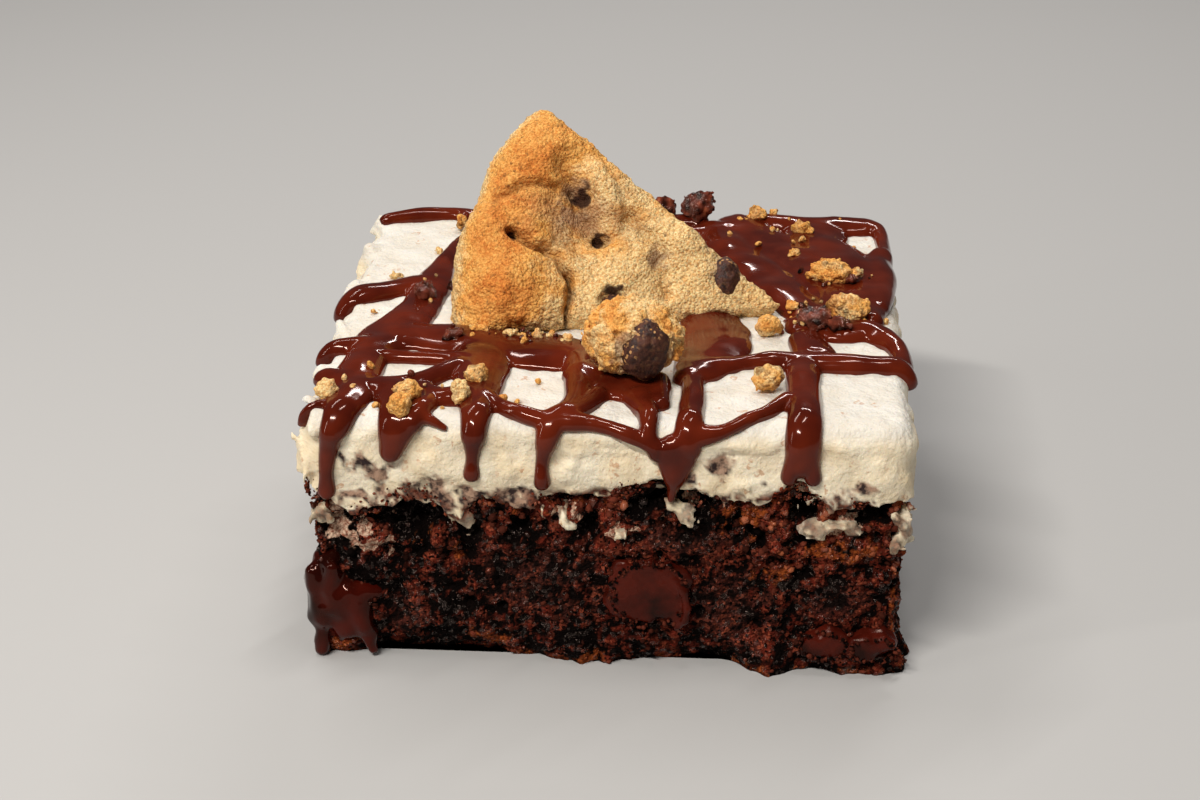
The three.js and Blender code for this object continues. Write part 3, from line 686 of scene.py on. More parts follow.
GRAINS = 9600
GRAIN_SEED = 5
GRAIN_SIZES = (0.14, 0.42)  # the smallest, and how much larger the largest is
GRAINS_SUNK = (-0.5, 0.15)  # how far out the middles lie, in grain sizes


def add_grains(name, places, sizes, seed, tone, wet):
    """Grains of brownie of 20 triangles each, with their own shade and wetness."""
    mesh, number = scattered(places, sizes, seed + 1, 1, 0.5)
    add_piece(name, mesh, grain_look(), "brownie", tone=tone[number], wet=wet[number])


def brownie_grains(points, out, shades):
    """Grains of crumb that stand out of the brownie's sides, closest together on the cut front."""
    random = np.random.default_rng(GRAIN_SEED)
    rows, count = points.shape[:2]
    chance = np.where(points[rows // 2, :, 1] < FRONT_BAND - DEPTH / 2, 2.6, 1.0)
    column = random.choice(count, GRAINS, p=chance / chance.sum())
    row = random.integers(1, rows - 2, GRAINS)
    covered = 1.6 * shades["smear"][row, column] + 0.5 * shades["satin"][row, column]
    kept = random.uniform(0, 1, GRAINS) > covered
    row, column = row[kept], column[kept]
    amount = len(row)
    tone, crust, satin = (shades[name][row, column] for name in ("tone", "crust", "satin"))
    sizes = GRAIN_SIZES[0] + GRAIN_SIZES[1] * random.uniform(0, 1, amount) ** 3.4
    sizes *= (0.85 + 0.5 * smooth(12, 22, points[row, column, 2])) * (1 - 0.4 * satin)
    places = points[row, column]
    places[:, :2] += out[column] * (sizes * random.uniform(*GRAINS_SUNK, amount))[:, None]
    places[:, 2] = np.maximum(places[:, 2], sizes)
    # Grains in the hollows and torn places are painted darker with the crumb's painted shade.
    shade = 0.45 * random.uniform(0, 1, amount) ** 1.8 * smooth(0.0, 0.3, tone)
    shade = np.clip(shade + 0.5 * tone + 0.5 * crust, 0, 1)
    add_grains("brownie_grains", places, sizes, GRAIN_SEED, shade, random.uniform(0, 1, amount))


SPECKS = 1100
SPECK_SEED = 61
SPECK_LARGEST = 0.3
SPECKS_LOW, SPECKS_HIGH = -0.8, 1.9  # from the seam


def seam_specks():
    """Small specks along the seam: crumb that the knife rubbed into the icing."""
    random = np.random.default_rng(SPECK_SEED)
    at, out = outline(1200)
    on_front = at[:, 1] < FRONT_BAND - DEPTH / 2
    chance = np.where(on_front, 2.5, 1.0) * smooth(-0.3, 0.5, noise(flat_places(*at.T), 3.0, 41.0))
    chosen = random.choice(len(at), SPECKS, p=chance / chance.sum())
    x, y = at[chosen].T
    share = random.uniform(0, 1, SPECKS) ** 1.6
    z = seam_height(x, y) + SPECKS_LOW + (SPECKS_HIGH - SPECKS_LOW) * share
    sizes = SPECK_LARGEST * random.uniform(0.35, 1, SPECKS)
    places = np.stack([x, y, z], axis=1)
    places[:, :2] += out[chosen] * random.uniform(-0.3, 0.25, SPECKS)[:, None]
    tone = random.uniform(0.1, 0.9, SPECKS)
    add_grains("crumb_in_icing", places, sizes, SPECK_SEED, tone, random.uniform(0, 1, SPECKS))


# The icing.

SMUDGES = [
    # chocolate rubbed into the icing's front: across, height, half sizes
    (-33, 29.6, 2.8, 1.5), (-30, 27.0, 2.0, 2.3), (-26, 24.4, 1.4, 1.9), (-22.5, 26.6, 2.7, 1.7),
    (-19.3, 24.6, 3.8, 1.7), (-13, 25.8, 4.4, 0.7), (14.5, 30.4, 1.8, 1.4), (30, 26.4, 2.4, 1.2),
    (10, 29.0, 1.8, 1.0), (-34, 25.0, 3.0, 1.0), (-24, 23.0, 4.0, 1.2), (-10, 24.2, 5.6, 1.2),
    (-28, 22.8, 2.6, 1.2), (20.5, 28.4, 1.2, 0.8), (34, 28.0, 1.6, 0.7),
]
TONGUES = [
    # icing that hangs over or lies in the cut front: middle, half sizes
    ((17.0, -38.2, 27.4), (2.1, 1.5, 1.7)), ((30.0, -38.2, 25.9), (3.1, 1.3, 1.5)),
    ((28.6, -37.9, 21.6), (2.2, 1.3, 1.2)), ((31.3, -37.9, 21.9), (1.7, 1.2, 1.0)),
    ((-19.2, -37.9, 21.6), (1.4, 1.2, 1.7)), ((-6.2, -37.9, 22.6), (1.7, 1.2, 1.2)),
    ((-4.6, -37.9, 21.6), (0.9, 1.0, 0.8)), ((1.6, -38.2, 20.2), (1.0, 1.0, 1.1)),
    ((39.2, -37.6, 22.6), (1.2, 1.5, 1.5)), ((39.3, -37.7, 20.0), (1.1, 1.4, 1.5)),
    ((-37.6, -38.0, 21.6), (1.6, 1.3, 1.0)), ((8.8, -38.2, 24.2), (0.8, 0.8, 0.7)),
    ((10.2, -38.2, 23.0), (1.0, 0.8, 0.7)), ((11.5, -38.2, 21.9), (0.8, 0.8, 0.7)),
]


SAGS = [(-27, 3.0, 1.0), (-11, 4.0, 0.7)]  # lower icing edge: across the front, half width, drop
HIGH_HOLLOW = 24.0  # hollows above this height reach under the icing
TONGUE_CELLS = 14  # from the front, as far back as the tongues reach


def icing_swell(p):
    """The broad swells by which the icing stands out from the plain rounded slab."""
    x, y, z = np.moveaxis(p, -1, 0)
    side = smooth(0.5, 3.0, HEIGHT - z)
    spread = p * np.array([0.6, 0.6, 1.0], dtype=np.float32)
    swell = 0.1 + 0.25 * uneven(x, y, z, 1.9) + 0.3 * noise(spread, 2.4, 2.0)
    return side * swell + (1 - side) * 0.2 * noise(p, 5.0, 5.0)


def icing_relief(p):
    """How far the icing stands out from the plain rounded slab, with its finer lumps."""
    x, y, z = np.moveaxis(p, -1, 0)
    side = smooth(0.5, 3.0, HEIGHT - z)
    left = smooth(-WIDTH / 2 + CORNER, -WIDTH / 2, x)
    fine = 0.18 * noise(p, 1.6, 8.0) + 0.12 * noise(p, 0.8, 9.0)
    steps = 0.3 * smooth(0.0, 0.12, noise(p, 3.4, 35.0)) * side
    edge = 0.3 * bell(HEIGHT - z - 1.6, 1.4) * noise(p, 1.8, 36.0)
    scallops = left * (0.3 * uneven(x, y, z, 1.9) + np.clip(2.6 * noise(p, 2.5, 33.0), -1.1, 1.4))
    return icing_swell(p) + fine + steps - 0.1 + edge + scallops


def round_corner(a, b):
    """Distance outside a corner, from how far past each of its two sides a point is."""
    return np.hypot(np.maximum(a, 0), np.maximum(b, 0)) + np.minimum(np.maximum(a, b), 0)


def icing_field(p):
    x, y, z = np.moveaxis(p, -1, 0)
    plan = round_corner(np.abs(x) - WIDTH / 2 + CORNER, np.abs(y) - DEPTH / 2 + CORNER) - CORNER
    slab = round_corner(plan + EDGE, z - HEIGHT + EDGE) - EDGE
    inside = smooth(0, SEAM_INSET, -plan)
    rag = layered(p, 1.4, 2, 12.0)
    gaps = -sum(drop * bell(x - across, half) for across, half, drop in SAGS)
    for across, height, reach, depth in HOLLOWS:
        if height > HIGH_HOLLOW:
            gaps = gaps + 0.3 * depth * bell(x - across, 1.3 * reach)
    ragged = 1.1 * rag + 0.7 * noise(p, 3.6, 14.0) + gaps * bell(y + DEPTH / 2, 4)
    floor = (1 - inside) * seam_height(x, y) + inside * SEAM + ragged * (1 - inside)
    body = smooth_max(slab - icing_relief(p), floor - z, 0.35)
    near = p[:, :TONGUE_CELLS]
    tongues = np.full(near.shape[:-1], FAR, dtype=np.float32)
    for middle, half in TONGUES:
        sunk = (middle[0], middle[1] + 0.4, middle[2])
        tongues = np.minimum(tongues, ball_field(near, sunk, half))
    tongues = tongues - 1.2 * rag[:, :TONGUE_CELLS]
    body[:, :TONGUE_CELLS] = smooth_min(body[:, :TONGUE_CELLS], tongues, 0.8)
    return body


def icing_piece():
    reach_x, reach_y = WIDTH / 2 + 1.6, DEPTH / 2 + 1.6
    low, high = (-reach_x, -reach_y, 17.5), (reach_x, reach_y, HEIGHT + 0.8)
    points, faces = surface(icing_field, low, high, ICING_STEP)
    x, y, z = points.T
    on_front = on_cut_front(y)
    rag = 0.5 * layered(points, 1.4, 3, 19.0)
    # Where the sides' cream, with its painted light and shade, takes over from the top's.
    side = smooth(0.4, 3.0, HEIGHT - z)
    smudge = smooth(0.0, 0.45, patches(x, z, SMUDGES, 1.7 * rag)) * on_front
    near_seam = smooth(1.7, 0.2, z - seam_height(x, y))
    crumbed = smooth(0.25, 0.5, layered(points, 1.2, 3, 30.0) + 0.42 * near_seam) * near_seam
    hanging = smooth(-0.5, -1.5, z - seam_height(x, y))
    crumbed = crumbed * (1 - 0.4 * hanging)
    spill = bell(np.hypot(x + 12, y + 33), 0.9)
    smudge = np.maximum(smudge, 0.9 * spill)
    smudge = np.maximum(smudge, 0.7 * hanging * smooth(-0.2, 0.6, layered(points, 1.1, 2, 39.0)))
    painted = {"side": side, "smudge": smudge, "crumbed": crumbed}
    add_piece("icing_layer", (points, faces), icing_look(), "icing", ["icing"], **painted)


# The drizzle. x and y run over the top and on down the sides, and the third number is the half width.

STRANDS = [
    [(-38.3, 34.4, 1.1), (-34.5, 36.2, 1.4), (-30, 37.2, 1.5), (-26, 37.6, 1.7), (-14, 37.2, 1.4),
     (11, 36.6, 1.6)],
    [(-41, 0.6, 1.6), (-38.5, 1.9, 2.3), (-35, 4.2, 2.5), (-31, 6.5, 2.6), (-28, 7, 2.6)],
    [(-24.6, 31, 0.7), (-26, 25, 0.9), (-26.6, 20, 1.3), (-27.3, 14, 2.0), (-28, 8, 2.9),
     (-28.6, 0, 3.0), (-30, -7, 3.6)],
    [(-30, -7, 3.6), (-32, -12.5, 4.2), (-33.5, -18, 3.0), (-34, -23, 3.2), (-34.5, -28, 3.4)],
    [(-40.6, -17.9, 1.2), (-38, -17.6, 1.7), (-35, -16.8, 2.0)],
    [(-31, -12.5, 3.9), (-24, -13, 4.6), (-17, -14.5, 5.2), (-10, -16.4, 5.8), (-4, -18, 4.0)],
    [(-35, -20.8, 1.5), (-30, -20.4, 1.1), (-24, -20.7, 1.1), (-20, -21, 2.0)],
    [(-31, -30, 1.7), (-28, -29.0, 1.5), (-24.5, -27.0, 1.6), (-21, -23, 2.0)],
    [(-38.2, -27.5, 1.7), (-35, -29, 2.8), (-30, -31, 2.9), (-25, -32, 2.5), (-22, -33, 2.0),
     (-19, -32, 2.4)],
    [(-18.2, -20, 4.4), (-17.8, -26, 3.7), (-17.4, -31, 3.1), (-17.1, -36, 2.3), (-17.3, -40, 1.7)],
    [(-17.3, -40, 1.7), (-17.5, -43.2, 0.95), (-17.6, -45.6, 1.25)],
    [(-33.5, -30, 2.6), (-34, -34, 2.9), (-34.9, -38, 2.3), (-35.9, -40.5, 1.65), (-36.5, -43.5, 1.2),
     (-36.8, -46.5, 0.95), (-36.9, -48.8, 1.2)],
    [(-35.8, -35.6, 0.7), (-37.8, -36.4, 0.5), (-40, -37, 0.4), (-41.6, -36.6, 0.35)],
    [(-29, -31, 2.6), (-27.2, -36, 2.9), (-27.3, -39, 2.6), (-27.8, -41.2, 2.0), (-28.2, -42.7, 1.6)],
    [(-26, -38, 1.3), (-23.5, -38.3, 0.75), (-21, -39.4, 0.4)],
    [(-25, -31, 2.4), (-24, -35, 1.8), (-25.5, -38.5, 1.7)],
    [(-16.5, -33, 1.5), (-13, -36.3, 1.1), (-9, -37.9, 1.2), (-5.5, -38, 1.5), (-2, -38.4, 0.95)],
    [(-2, -38.4, 0.95), (1, -39, 0.9), (4, -39.9, 1.0), (6.3, -41, 1.3)],
    [(-4.6, -20, 2.2), (-4.3, -26, 2.1), (-4.3, -32, 1.9), (-5.6, -36.5, 1.8), (-7.2, -38.5, 1.9),
     (-7.9, -41.3, 1.4)],
    [(-7.9, -41.3, 1.4), (-8.4, -44.2, 0.9), (-8.4, -46.7, 1.15)],
    [(-4, -24, 2.8), (0, -27, 4.0), (4, -28, 4.2)],
    [(-1.5, -31, 1.5), (-4, -36, 1.3), (-6, -38, 1.3)],
    [(4, -31, 2.4), (5.2, -36, 1.6), (5.6, -40, 1.1), (6.4, -42, 1.2)],
    [(6.4, -26, 1.6), (6.6, -33, 1.5)],
    [(10.8, -24, 1.6), (11, -30, 1.7), (10.8, -36, 1.9), (10.4, -41, 2.0)],
    [(13, -4, 4.4), (13.8, -9, 5.0), (14, -14, 5.0), (12.5, -19, 4.2), (10.5, -24, 2.4)],
    [(11, -21.5, 2.6), (15, -20.3, 1.7), (19, -18.8, 1.3), (23, -18.3, 1.9), (28, -18.2, 2.1),
     (34, -18.4, 2.1), (40.6, -18.5, 1.6)],
    [(26.5, -5, 3.0), (31, -6.5, 3.4), (35.5, -7, 2.5), (38.3, -10.5, 1.8), (39.4, -14, 1.5),
     (39.6, -17, 1.6)],
    [(26.6, -10, 2.6), (27.6, -15, 3.2)],
    [(25.8, -18, 2.6), (25.7, -26, 2.4), (25.7, -34, 2.4), (25.5, -41, 2.4), (25.4, -43, 2.0)],
    [(24.4, -42, 1.2), (23.8, -44.9, 1.15)],
    [(26.4, -42, 1.2), (26.9, -44.9, 1.15)],
    [(11.5, -39.4, 1.5), (15, -38.9, 0.9), (18, -37.3, 1.0), (20.5, -35.3, 1.0), (23.5, -31, 1.3)],
    [(9, -42, 2.9), (9, -43.5, 2.3), (9, -45.3, 1.6), (8.8, -46.8, 0.9), (8.5, -48.6, 0.5)],
    [(17, 35.5, 3.8), (20, 29, 5.6), (24, 24, 6.6), (28, 18, 6.5), (30, 12, 5.2), (31, 6, 4.2),
     (31.5, 0, 4.0)],
    [(29, 33, 5.2), (29.5, 27, 4.8), (32, 21, 5.6), (35, 15, 5.2), (35.6, 8, 4.2), (35.5, 2, 3.0),
     (36, -3, 1.8)],
    [(13, 33, 3.0), (16, 26, 4.0), (19, 18, 4.5), (22, 11, 4.2), (24.5, 5, 3.6), (27, 0, 3.4)],
    [(20, 37.2, 2.6), (30, 36.6, 3.6), (36.5, 36.0, 3.0)],
    [(38.6, 36, 1.3), (39.2, 31, 1.1), (39.2, 26, 1.2), (38.2, 21, 2.4), (38.4, 14, 2.2),
     (37.8, 8, 1.9), (37, 2, 1.6)],
    [(-24, 31, 1.0), (-10, 26, 1.4), (2, 29, 1.5), (15, 33, 2.2)],
    [(-26, 36.5, 1.5), (-27, 41, 1.3), (-27.4, 46.2, 0.9)],
    [(-4, 36.6, 1.7), (-3.4, 42, 1.5), (-3, 48.4, 0.95)],
    [(17, 36.8, 1.9), (17.6, 42, 1.7), (18, 46.6, 1.05)],
    [(32, 37, 2.3), (32.6, 42.5, 1.8), (33, 49.2, 0.95)],
]
DRIZZLE_RISE = 1.7
DRIZZLE_FULL = 1.7  # half width of the thinnest strand that rises this much
DRIZZLE_BURIED = 0.7


def strand_depth(u, v):
    """The square of the drizzle's rise over each place of the unfolded icing, and less than 0 outside."""
    depth = np.full(u.shape, -FAR)
    for route in STRANDS:
        points = curve(route)
        one = np.full(u.shape, -FAR)
        for start, end in zip(points[:-1], points[1:]):
            t, away = nearest_on(u, v, start, end)
            width = start[2] + t * (end[2] - start[2])
            height = DRIZZLE_RISE**2 * np.minimum(width / DRIZZLE_FULL, 1)
            one = np.maximum(one, height * (1 - (away / width) ** 2))
        depth = smooth_max(depth, one, 0.9)
    return depth


def fold(past):
    """How far out and down a line over the icing's edge gets, and how far it has turned."""
    arc = EDGE * math.pi / 2
    turn = np.clip(past / EDGE, 0, math.pi / 2)
    out = np.where(past <= 0, past, EDGE * np.sin(turn))
    down = np.where(past <= 0, 0, EDGE * (1 - np.cos(turn)) + np.maximum(past - arc, 0))
    return out, down, turn


def drape(u, v):
    """Places on the icing for places of the unfolded icing, and the icing's outward direction."""
    side_x, side_y = np.sign(u), np.sign(v)
    out_x, down_x, turn_x = fold(np.abs(u) - (WIDTH / 2 - EDGE))
    out_y, down_y, turn_y = fold(np.abs(v) - (DEPTH / 2 - EDGE))
    x = side_x * (WIDTH / 2 - EDGE + out_x)
    y = side_y * (DEPTH / 2 - EDGE + out_y)
    at = np.stack([x, y, HEIGHT - down_x - down_y], axis=-1)
    up = np.cos(np.maximum(turn_x, turn_y))
    normal = np.stack([side_x * np.sin(turn_x), side_y * np.sin(turn_y), up], axis=-1)
    return at, normal / np.linalg.norm(normal, axis=-1, keepdims=True)


DRIZZLE_LOW = (-43.6, -53.0, -DRIZZLE_BURIED - 0.6)
DRIZZLE_HIGH = (43.6, 51.0, DRIZZLE_RISE + 1.4)


def drizzle_field(p):
    u, v, rise = np.moveaxis(p, -1, 0)
    u, v = u[:, :, 0], v[:, :, 0]
    flat = flat_places(u, v)
    depth = strand_depth(u, v) * (1 + 0.35 * noise(flat, 5.0, 1.7)) + 0.3 * noise(flat, 3.2, 3.3)
    body = (np.maximum(rise, 0) ** 2 - depth[:, :, None]) / (2 * DRIZZLE_RISE)
    return np.maximum(body, -DRIZZLE_BURIED - rise)


def drizzle_piece():
    points, faces = surface(drizzle_field, DRIZZLE_LOW, DRIZZLE_HIGH, DRIZZLE_STEP)
    at, normal = drape(points[:, 0], points[:, 1])
    places = at + normal * (points[:, 2] + icing_swell(at))[:, None]
    add_piece("drizzle", (places, faces), drizzle_look(), "fudge")


# The cookie. Its frame runs from the wedge's tip along the lower cut side, up the face and into the back.

COOKIE_RADIUS = 46.5
COOKIE_THICKNESS = 9.5
COOKIE_SLICE = math.radians(47)
COOKIE_SHOULDER = 6.5
COOKIE_DROP = 5.2
WEDGE_TIP = np.array([23.5, -2.0, 38.2])
WEDGE_TURN = math.radians(14.7)
WEDGE_LEAN = math.radians(52)
WEDGE_SIDE = np.array([-math.cos(WEDGE_TURN), -math.sin(WEDGE_TURN), 0])
WEDGE_BACK = np.array([-math.sin(WEDGE_TURN), math.cos(WEDGE_TURN), 0])
UP = np.array([0, 0, 1])
WEDGE_AXES = np.array([
    WEDGE_SIDE,
    WEDGE_BACK * math.cos(WEDGE_LEAN) + UP * math.sin(WEDGE_LEAN),
    WEDGE_BACK * math.sin(WEDGE_LEAN) - UP * math.cos(WEDGE_LEAN),
])
COOKIE_SWELLS = [
    # place on the face, rise, spread
    (38.6, 6.4, 2.7, 5.4), (33.5, 26.0, 1.9, 5.2), (42.5, 17.0, 1.2, 3.4), (27.5, 14.5, -2.3, 4.4),
    (28.6, 19.6, -1.0, 2.4), (22.6, 17.6, 1.2, 2.8), (24.6, 21.4, 0.8, 2.6), (21.5, 7.4, 1.2, 3.2),
    (25.5, 4.5, 0.7, 2.6), (13.5, 11.0, 1.3, 3.2), (10.9, 6.4, 1.2, 1.9), (7.2, 9.8, 1.0, 1.5),
    (34.5, 15.6, 1.0, 2.4), (29.5, 26.4, 0.7, 1.8),
]
COOKIE_CRACKS = [
    # routes over the face, and each crack's half width, depth and painted shade
    ([(38, 13.4), (35.9, 12.2), (33.2, 10.7), (31.7, 9.3), (30.4, 6.5)], 0.9, 2.2, 0.4),
    ([(30.4, 6.9), (30.4, 4.2), (31.2, 2.2), (31.4, -0.6)], 0.6, 2.5, 0.75),
    ([(39.4, 19.0), (38, 19.8), (35.6, 20.5), (33, 20.7), (30.7, 20.4)], 0.7, 1.2, 0.3),
    ([(20.2, 14.9), (16.6, 10.2), (17.2, 7.6), (16.7, 3.2)], 1.2, 1.3, 0.12),
    ([(29.4, 23.4), (28.4, 20.2), (27.4, 16.8), (26.4, 14), (25.1, 12.2)], 1.5, 1.5, 0.2),
    ([(33.2, 10.9), (31.1, 11.6), (28.5, 11.0)], 0.8, 0.9, 0.1),
    ([(24.9, 12), (22.6, 12.6), (20.4, 14.9)], 0.9, 0.9, 0.08),
    ([(24.0, 24.4), (21.8, 20.8), (20.4, 15.4)], 0.8, 0.7, 0.05),
]
COOKIE_PITS = [
    # place on the face, radius, depth
    (27.0, 18.8, 1.5, 1.5), (25.1, 12.2, 1.25, 1.3), (38.0, 13.4, 1.0, 1.7), (24.7, 3.0, 1.9, 1.6),
]
COCOA_STAINS = [
    # crumb stained by chocolate: place on the face, half sizes
    (27.8, 19.8, 2.6, 2.6), (28.5, 16.0, 4.4, 3.2), (8.6, 10.2, 2.4, 2.0), (17.5, 8.6, 2.2, 2.6),
    (7.6, 5.5, 3.4, 3.8),
]


def route_distance(x, y, route):
    points = curve(route, 5)
    distances = [nearest_on(x, y, start, end)[1] for start, end in zip(points[:-1], points[1:])]
    return np.min(distances, axis=0)


def face_swell(x, y):
    """How far the swells of the face stand out."""
    return sum(rise * bell(np.hypot(x - sx, y - sy), spread) for sx, sy, rise, spread in COOKIE_SWELLS)


def cookie_face(x, y):
    """Depth of the face below its plane, without the rounded rim."""
    flat = flat_places(x, y)
    x = x + 0.45 * noise(flat, 1.5, 70.0) + 0.2 * noise(flat, 0.6, 71.0)
    y = y + 0.45 * noise(flat, 1.5, 75.0) + 0.2 * noise(flat, 0.6, 76.0)
    dents = -face_swell(x, y)
    for route, half_width, depth, _ in COOKIE_CRACKS:
        dents = dents + depth * np.maximum(1 - route_distance(x, y, route) / (1.5 * half_width), 0) ** 1.4
    for px, py, radius, depth in COOKIE_PITS:
        dents = dents + depth * smooth(1.25 * radius, 0.3 * radius, np.hypot(x - px, y - py))
    return dents


TORN_CELLS = 16  # from the lower cut side, as deep as its torn crumb goes
COOKIE_HEEL = 2.5


def wedge_field(p):
    x, y, z = np.moveaxis(p, -1, 0)
    flat = p[:, :, 0]
    fx, fy = flat[..., 0], flat[..., 1]
    face = cookie_face(fx, fy) - 0.3 * layered(flat * [1, 1, 0], 3.4, 3, 2.0)
    radius = COOKIE_RADIUS + 0.8 * noise(flat * [1, 1, 0], 7.0, 6.0)
    past = np.maximum(np.hypot(fx, fy) - (radius - COOKIE_SHOULDER), 0) / COOKIE_SHOULDER
    above = np.maximum(COOKIE_DROP - (z - face[..., None]), 0) / COOKIE_DROP
    below = np.maximum(z - (COOKIE_THICKNESS - COOKIE_HEEL), 0) / COOKIE_HEEL
    rim = (np.hypot(past[..., None], np.maximum(above, below)) - 1) * COOKIE_DROP
    wander = 0.35 * noise(p, 3.0, 40.0) + 0.2 * noise(p, 1.1, 44.0)
    cut_low = -y + wander
    cut_low[:, :TORN_CELLS] += 0.8 * (grains(p[:, :TORN_CELLS], 1.9) - 0.5)
    cut_high = -math.sin(COOKIE_SLICE) * x + math.cos(COOKIE_SLICE) * y + wander
    cuts = smooth_max(cut_low, cut_high, 1.2)
    body = np.maximum(face[..., None] - z, z - COOKIE_THICKNESS)
    body = smooth_max(np.maximum(body, rim), cuts, 1.6)
    sandy = 0.34 * (0.5 - grains(p, 0.9)) + 0.14 * noise(p, 0.55, 3.0)
    return body - sandy


def cookie_shades(local):
    """How far each point is baked, how much painted shade its cracks and pits get, and where chocolate has
    stained it.
    """
    x, y, z = local.T
    rim = smooth(COOKIE_RADIUS - 18, COOKIE_RADIUS - 5, np.hypot(x, y))
    swell = face_swell(x, y)
    face = smooth(4.5, 1.0, z - cookie_face(x, y))
    cut = smooth(1.0, 0.1, y)
    edge = bell(math.sin(COOKIE_SLICE) * x - math.cos(COOKIE_SLICE) * y, 3.0)
    bake = 0.08 + 0.55 * rim + 0.3 * np.clip(swell, -1, 1.5) * (rim - 0.35) + 0.18 * edge * smooth(8, 20, x)
    bake = bake * (0.25 + 0.75 * face) - 0.25 * cut
    # The valley down the middle of the face is painted darker: a browner bake and cocoa colour.
    valley = bell(np.hypot((x - 27.5) / 1.6, y - 15.5), 4.2)
    bake -= 0.28 * bell(np.hypot(x - 31.6, y - 31.2), 8.0)
    bake += 0.12 * noise(local, 4.0, 50.0) + 0.25 * valley * face
    dark = np.zeros(len(local))
    ragged = 0.5 * noise(local, 0.9, 52.0)
    # Painted shade: the cracks are painted dark, and the bake is raised round them.
    for route, half_width, _, crack_shade in COOKIE_CRACKS:
        near = bell(route_distance(x + 0.4 * ragged, y, route), half_width * 0.7)
        dark = np.maximum(dark, crack_shade * near * face)
        bake = bake + 0.25 * crack_shade * bell(route_distance(x, y, route), half_width * 2.5)
    cocoa = np.zeros(len(local))
    # The pits are painted dark: partly chocolate in them, partly painted shade in the holes.
    for px, py, radius, _ in COOKIE_PITS:
        away = np.hypot(x - px, y - py) / radius
        dark = np.maximum(dark, 0.95 * smooth(1.0, 0.6, away + 1.3 * ragged) * face)
    for px, py, half_x, half_y in COCOA_STAINS:
        away = np.hypot((x - px) / half_x, (y - py) / half_y)
        cocoa = np.maximum(cocoa, 0.75 * smooth(1.0, 0.3, away + 0.7 * ragged) * face)
    cocoa = np.maximum(cocoa, 0.72 * valley * face * smooth(-0.6, 0.4, noise(local, 2.4, 57.0)))
    return {"bake": np.clip(bake, 0, 1), "dark": dark, "cocoa": cocoa}


WEDGE_LOW = (-2, -2, -3.4)
WEDGE_HIGH = (49, 36.5, COOKIE_THICKNESS + 1)


def wedge_piece(material):
    local, faces = surface(wedge_field, WEDGE_LOW, WEDGE_HIGH, COOKIE_STEP)
    shades = cookie_shades(local)
    points = WEDGE_TIP + local @ WEDGE_AXES
    add_piece("cookie_wedge_baked", (points, faces), material, "cookie", ["cookie_wedge"], **shades)


CHUNK_AT = np.array([2.6, -25.1, 42.7])
CHUNK_HALF = np.array([6.6, 5.3, 5.2])
CHUNK_BASE = 37.8
CHUNK_CHIP = np.array([4.2, -28.0, 42.2])
CHUNK_CHIP_RIM = 4.3


def chunk_field(p):
    body = ball_field(p, CHUNK_AT, CHUNK_HALF)
    lumps = 0.3 * noise(p, 4.5, 4.0) + 1.0 * (0.5 - grains(p, 2.1))
    sandy = 0.7 * (0.5 - grains(p, 1.0)) + 0.2 * noise(p, 0.6, 3.0)
    return smooth_max(body - lumps - sandy, CHUNK_BASE - p[..., 2], 0.6)


def chunk_piece(material):
    reach = CHUNK_HALF + 1.8
    points, faces = surface(chunk_field, CHUNK_AT - reach, CHUNK_AT + reach, CHUNK_STEP)
    x, y, z = points.T
    bake = np.clip(0.34 + 0.3 * noise(points, 4.0, 2.0) + 0.3 * noise(points, 1.3, 2.0), 0, 1)
    ragged = 0.25 * noise(points, 1.0, 5.0)
    away = np.hypot(x - CHUNK_CHIP[0], z - CHUNK_CHIP[2]) / CHUNK_CHIP_RIM
    cocoa = 0.7 * smooth(1.0, 0.75, away + ragged) * (y < CHUNK_AT[1])
    shades = {"bake": bake, "dark": np.zeros(len(points)), "cocoa": cocoa}
    add_piece("cookie_chunk_baked", (points, faces), material, "cookie", ["cookie_chunk"], **shades)


def on_wedge(x, y, z):
    return WEDGE_TIP + np.array([x, y, z]) @ WEDGE_AXES


CHUNK_AXES = np.array([(0.93, 0.28, -0.24), (0.22, 0.1, 0.97), (-0.29, 0.95, -0.03)])
CHIPS = [
    # node, middle, axes, half sizes along them; the last axis points into the cookie
    ("chip_wedge_tip", on_wedge(8.1, 5.0, 1.5), WEDGE_AXES, (2.7, 3.4, 2.4)),
    ("chip_wedge_low", on_wedge(24.6, 2.4, 1.7), WEDGE_AXES, (2.1, 1.9, 1.9)),
    ("chip_chunk", CHUNK_CHIP, CHUNK_AXES, (3.4, 4.3, 3.4)),
]


def chip_field(p, middle, axes, half):
    body = ball_field((p - middle) @ axes.T, (0, 0, 0), half)
    lumps = 0.4 * noise(p, 2.6, 3.0) + 0.16 * noise(p, 0.9, 5.0)
    return body - lumps - 0.1 * (0.4 - grains(p, 0.7))


def chip_pieces():
    material = chip_look()
    for node, *chip in CHIPS:
        middle, axes, half = chip
        reach = max(half) + 1.4
        points, faces = surface(chip_field, middle - reach, middle + reach, CHUNK_STEP, *chip)
        across, up, _ = ((points - middle) @ axes.T / half).T
        from_rim = 1 - np.hypot(across, up) + 0.3 * noise(points, 1.2, 8.0)
        dust = 0.06 + 0.7 * smooth(0.35, 0.05, from_rim)
        add_piece(f"{node}_baked", (points, faces), material, "dark_chocolate", [node], dust=dust)


# Fudge in the cut front.

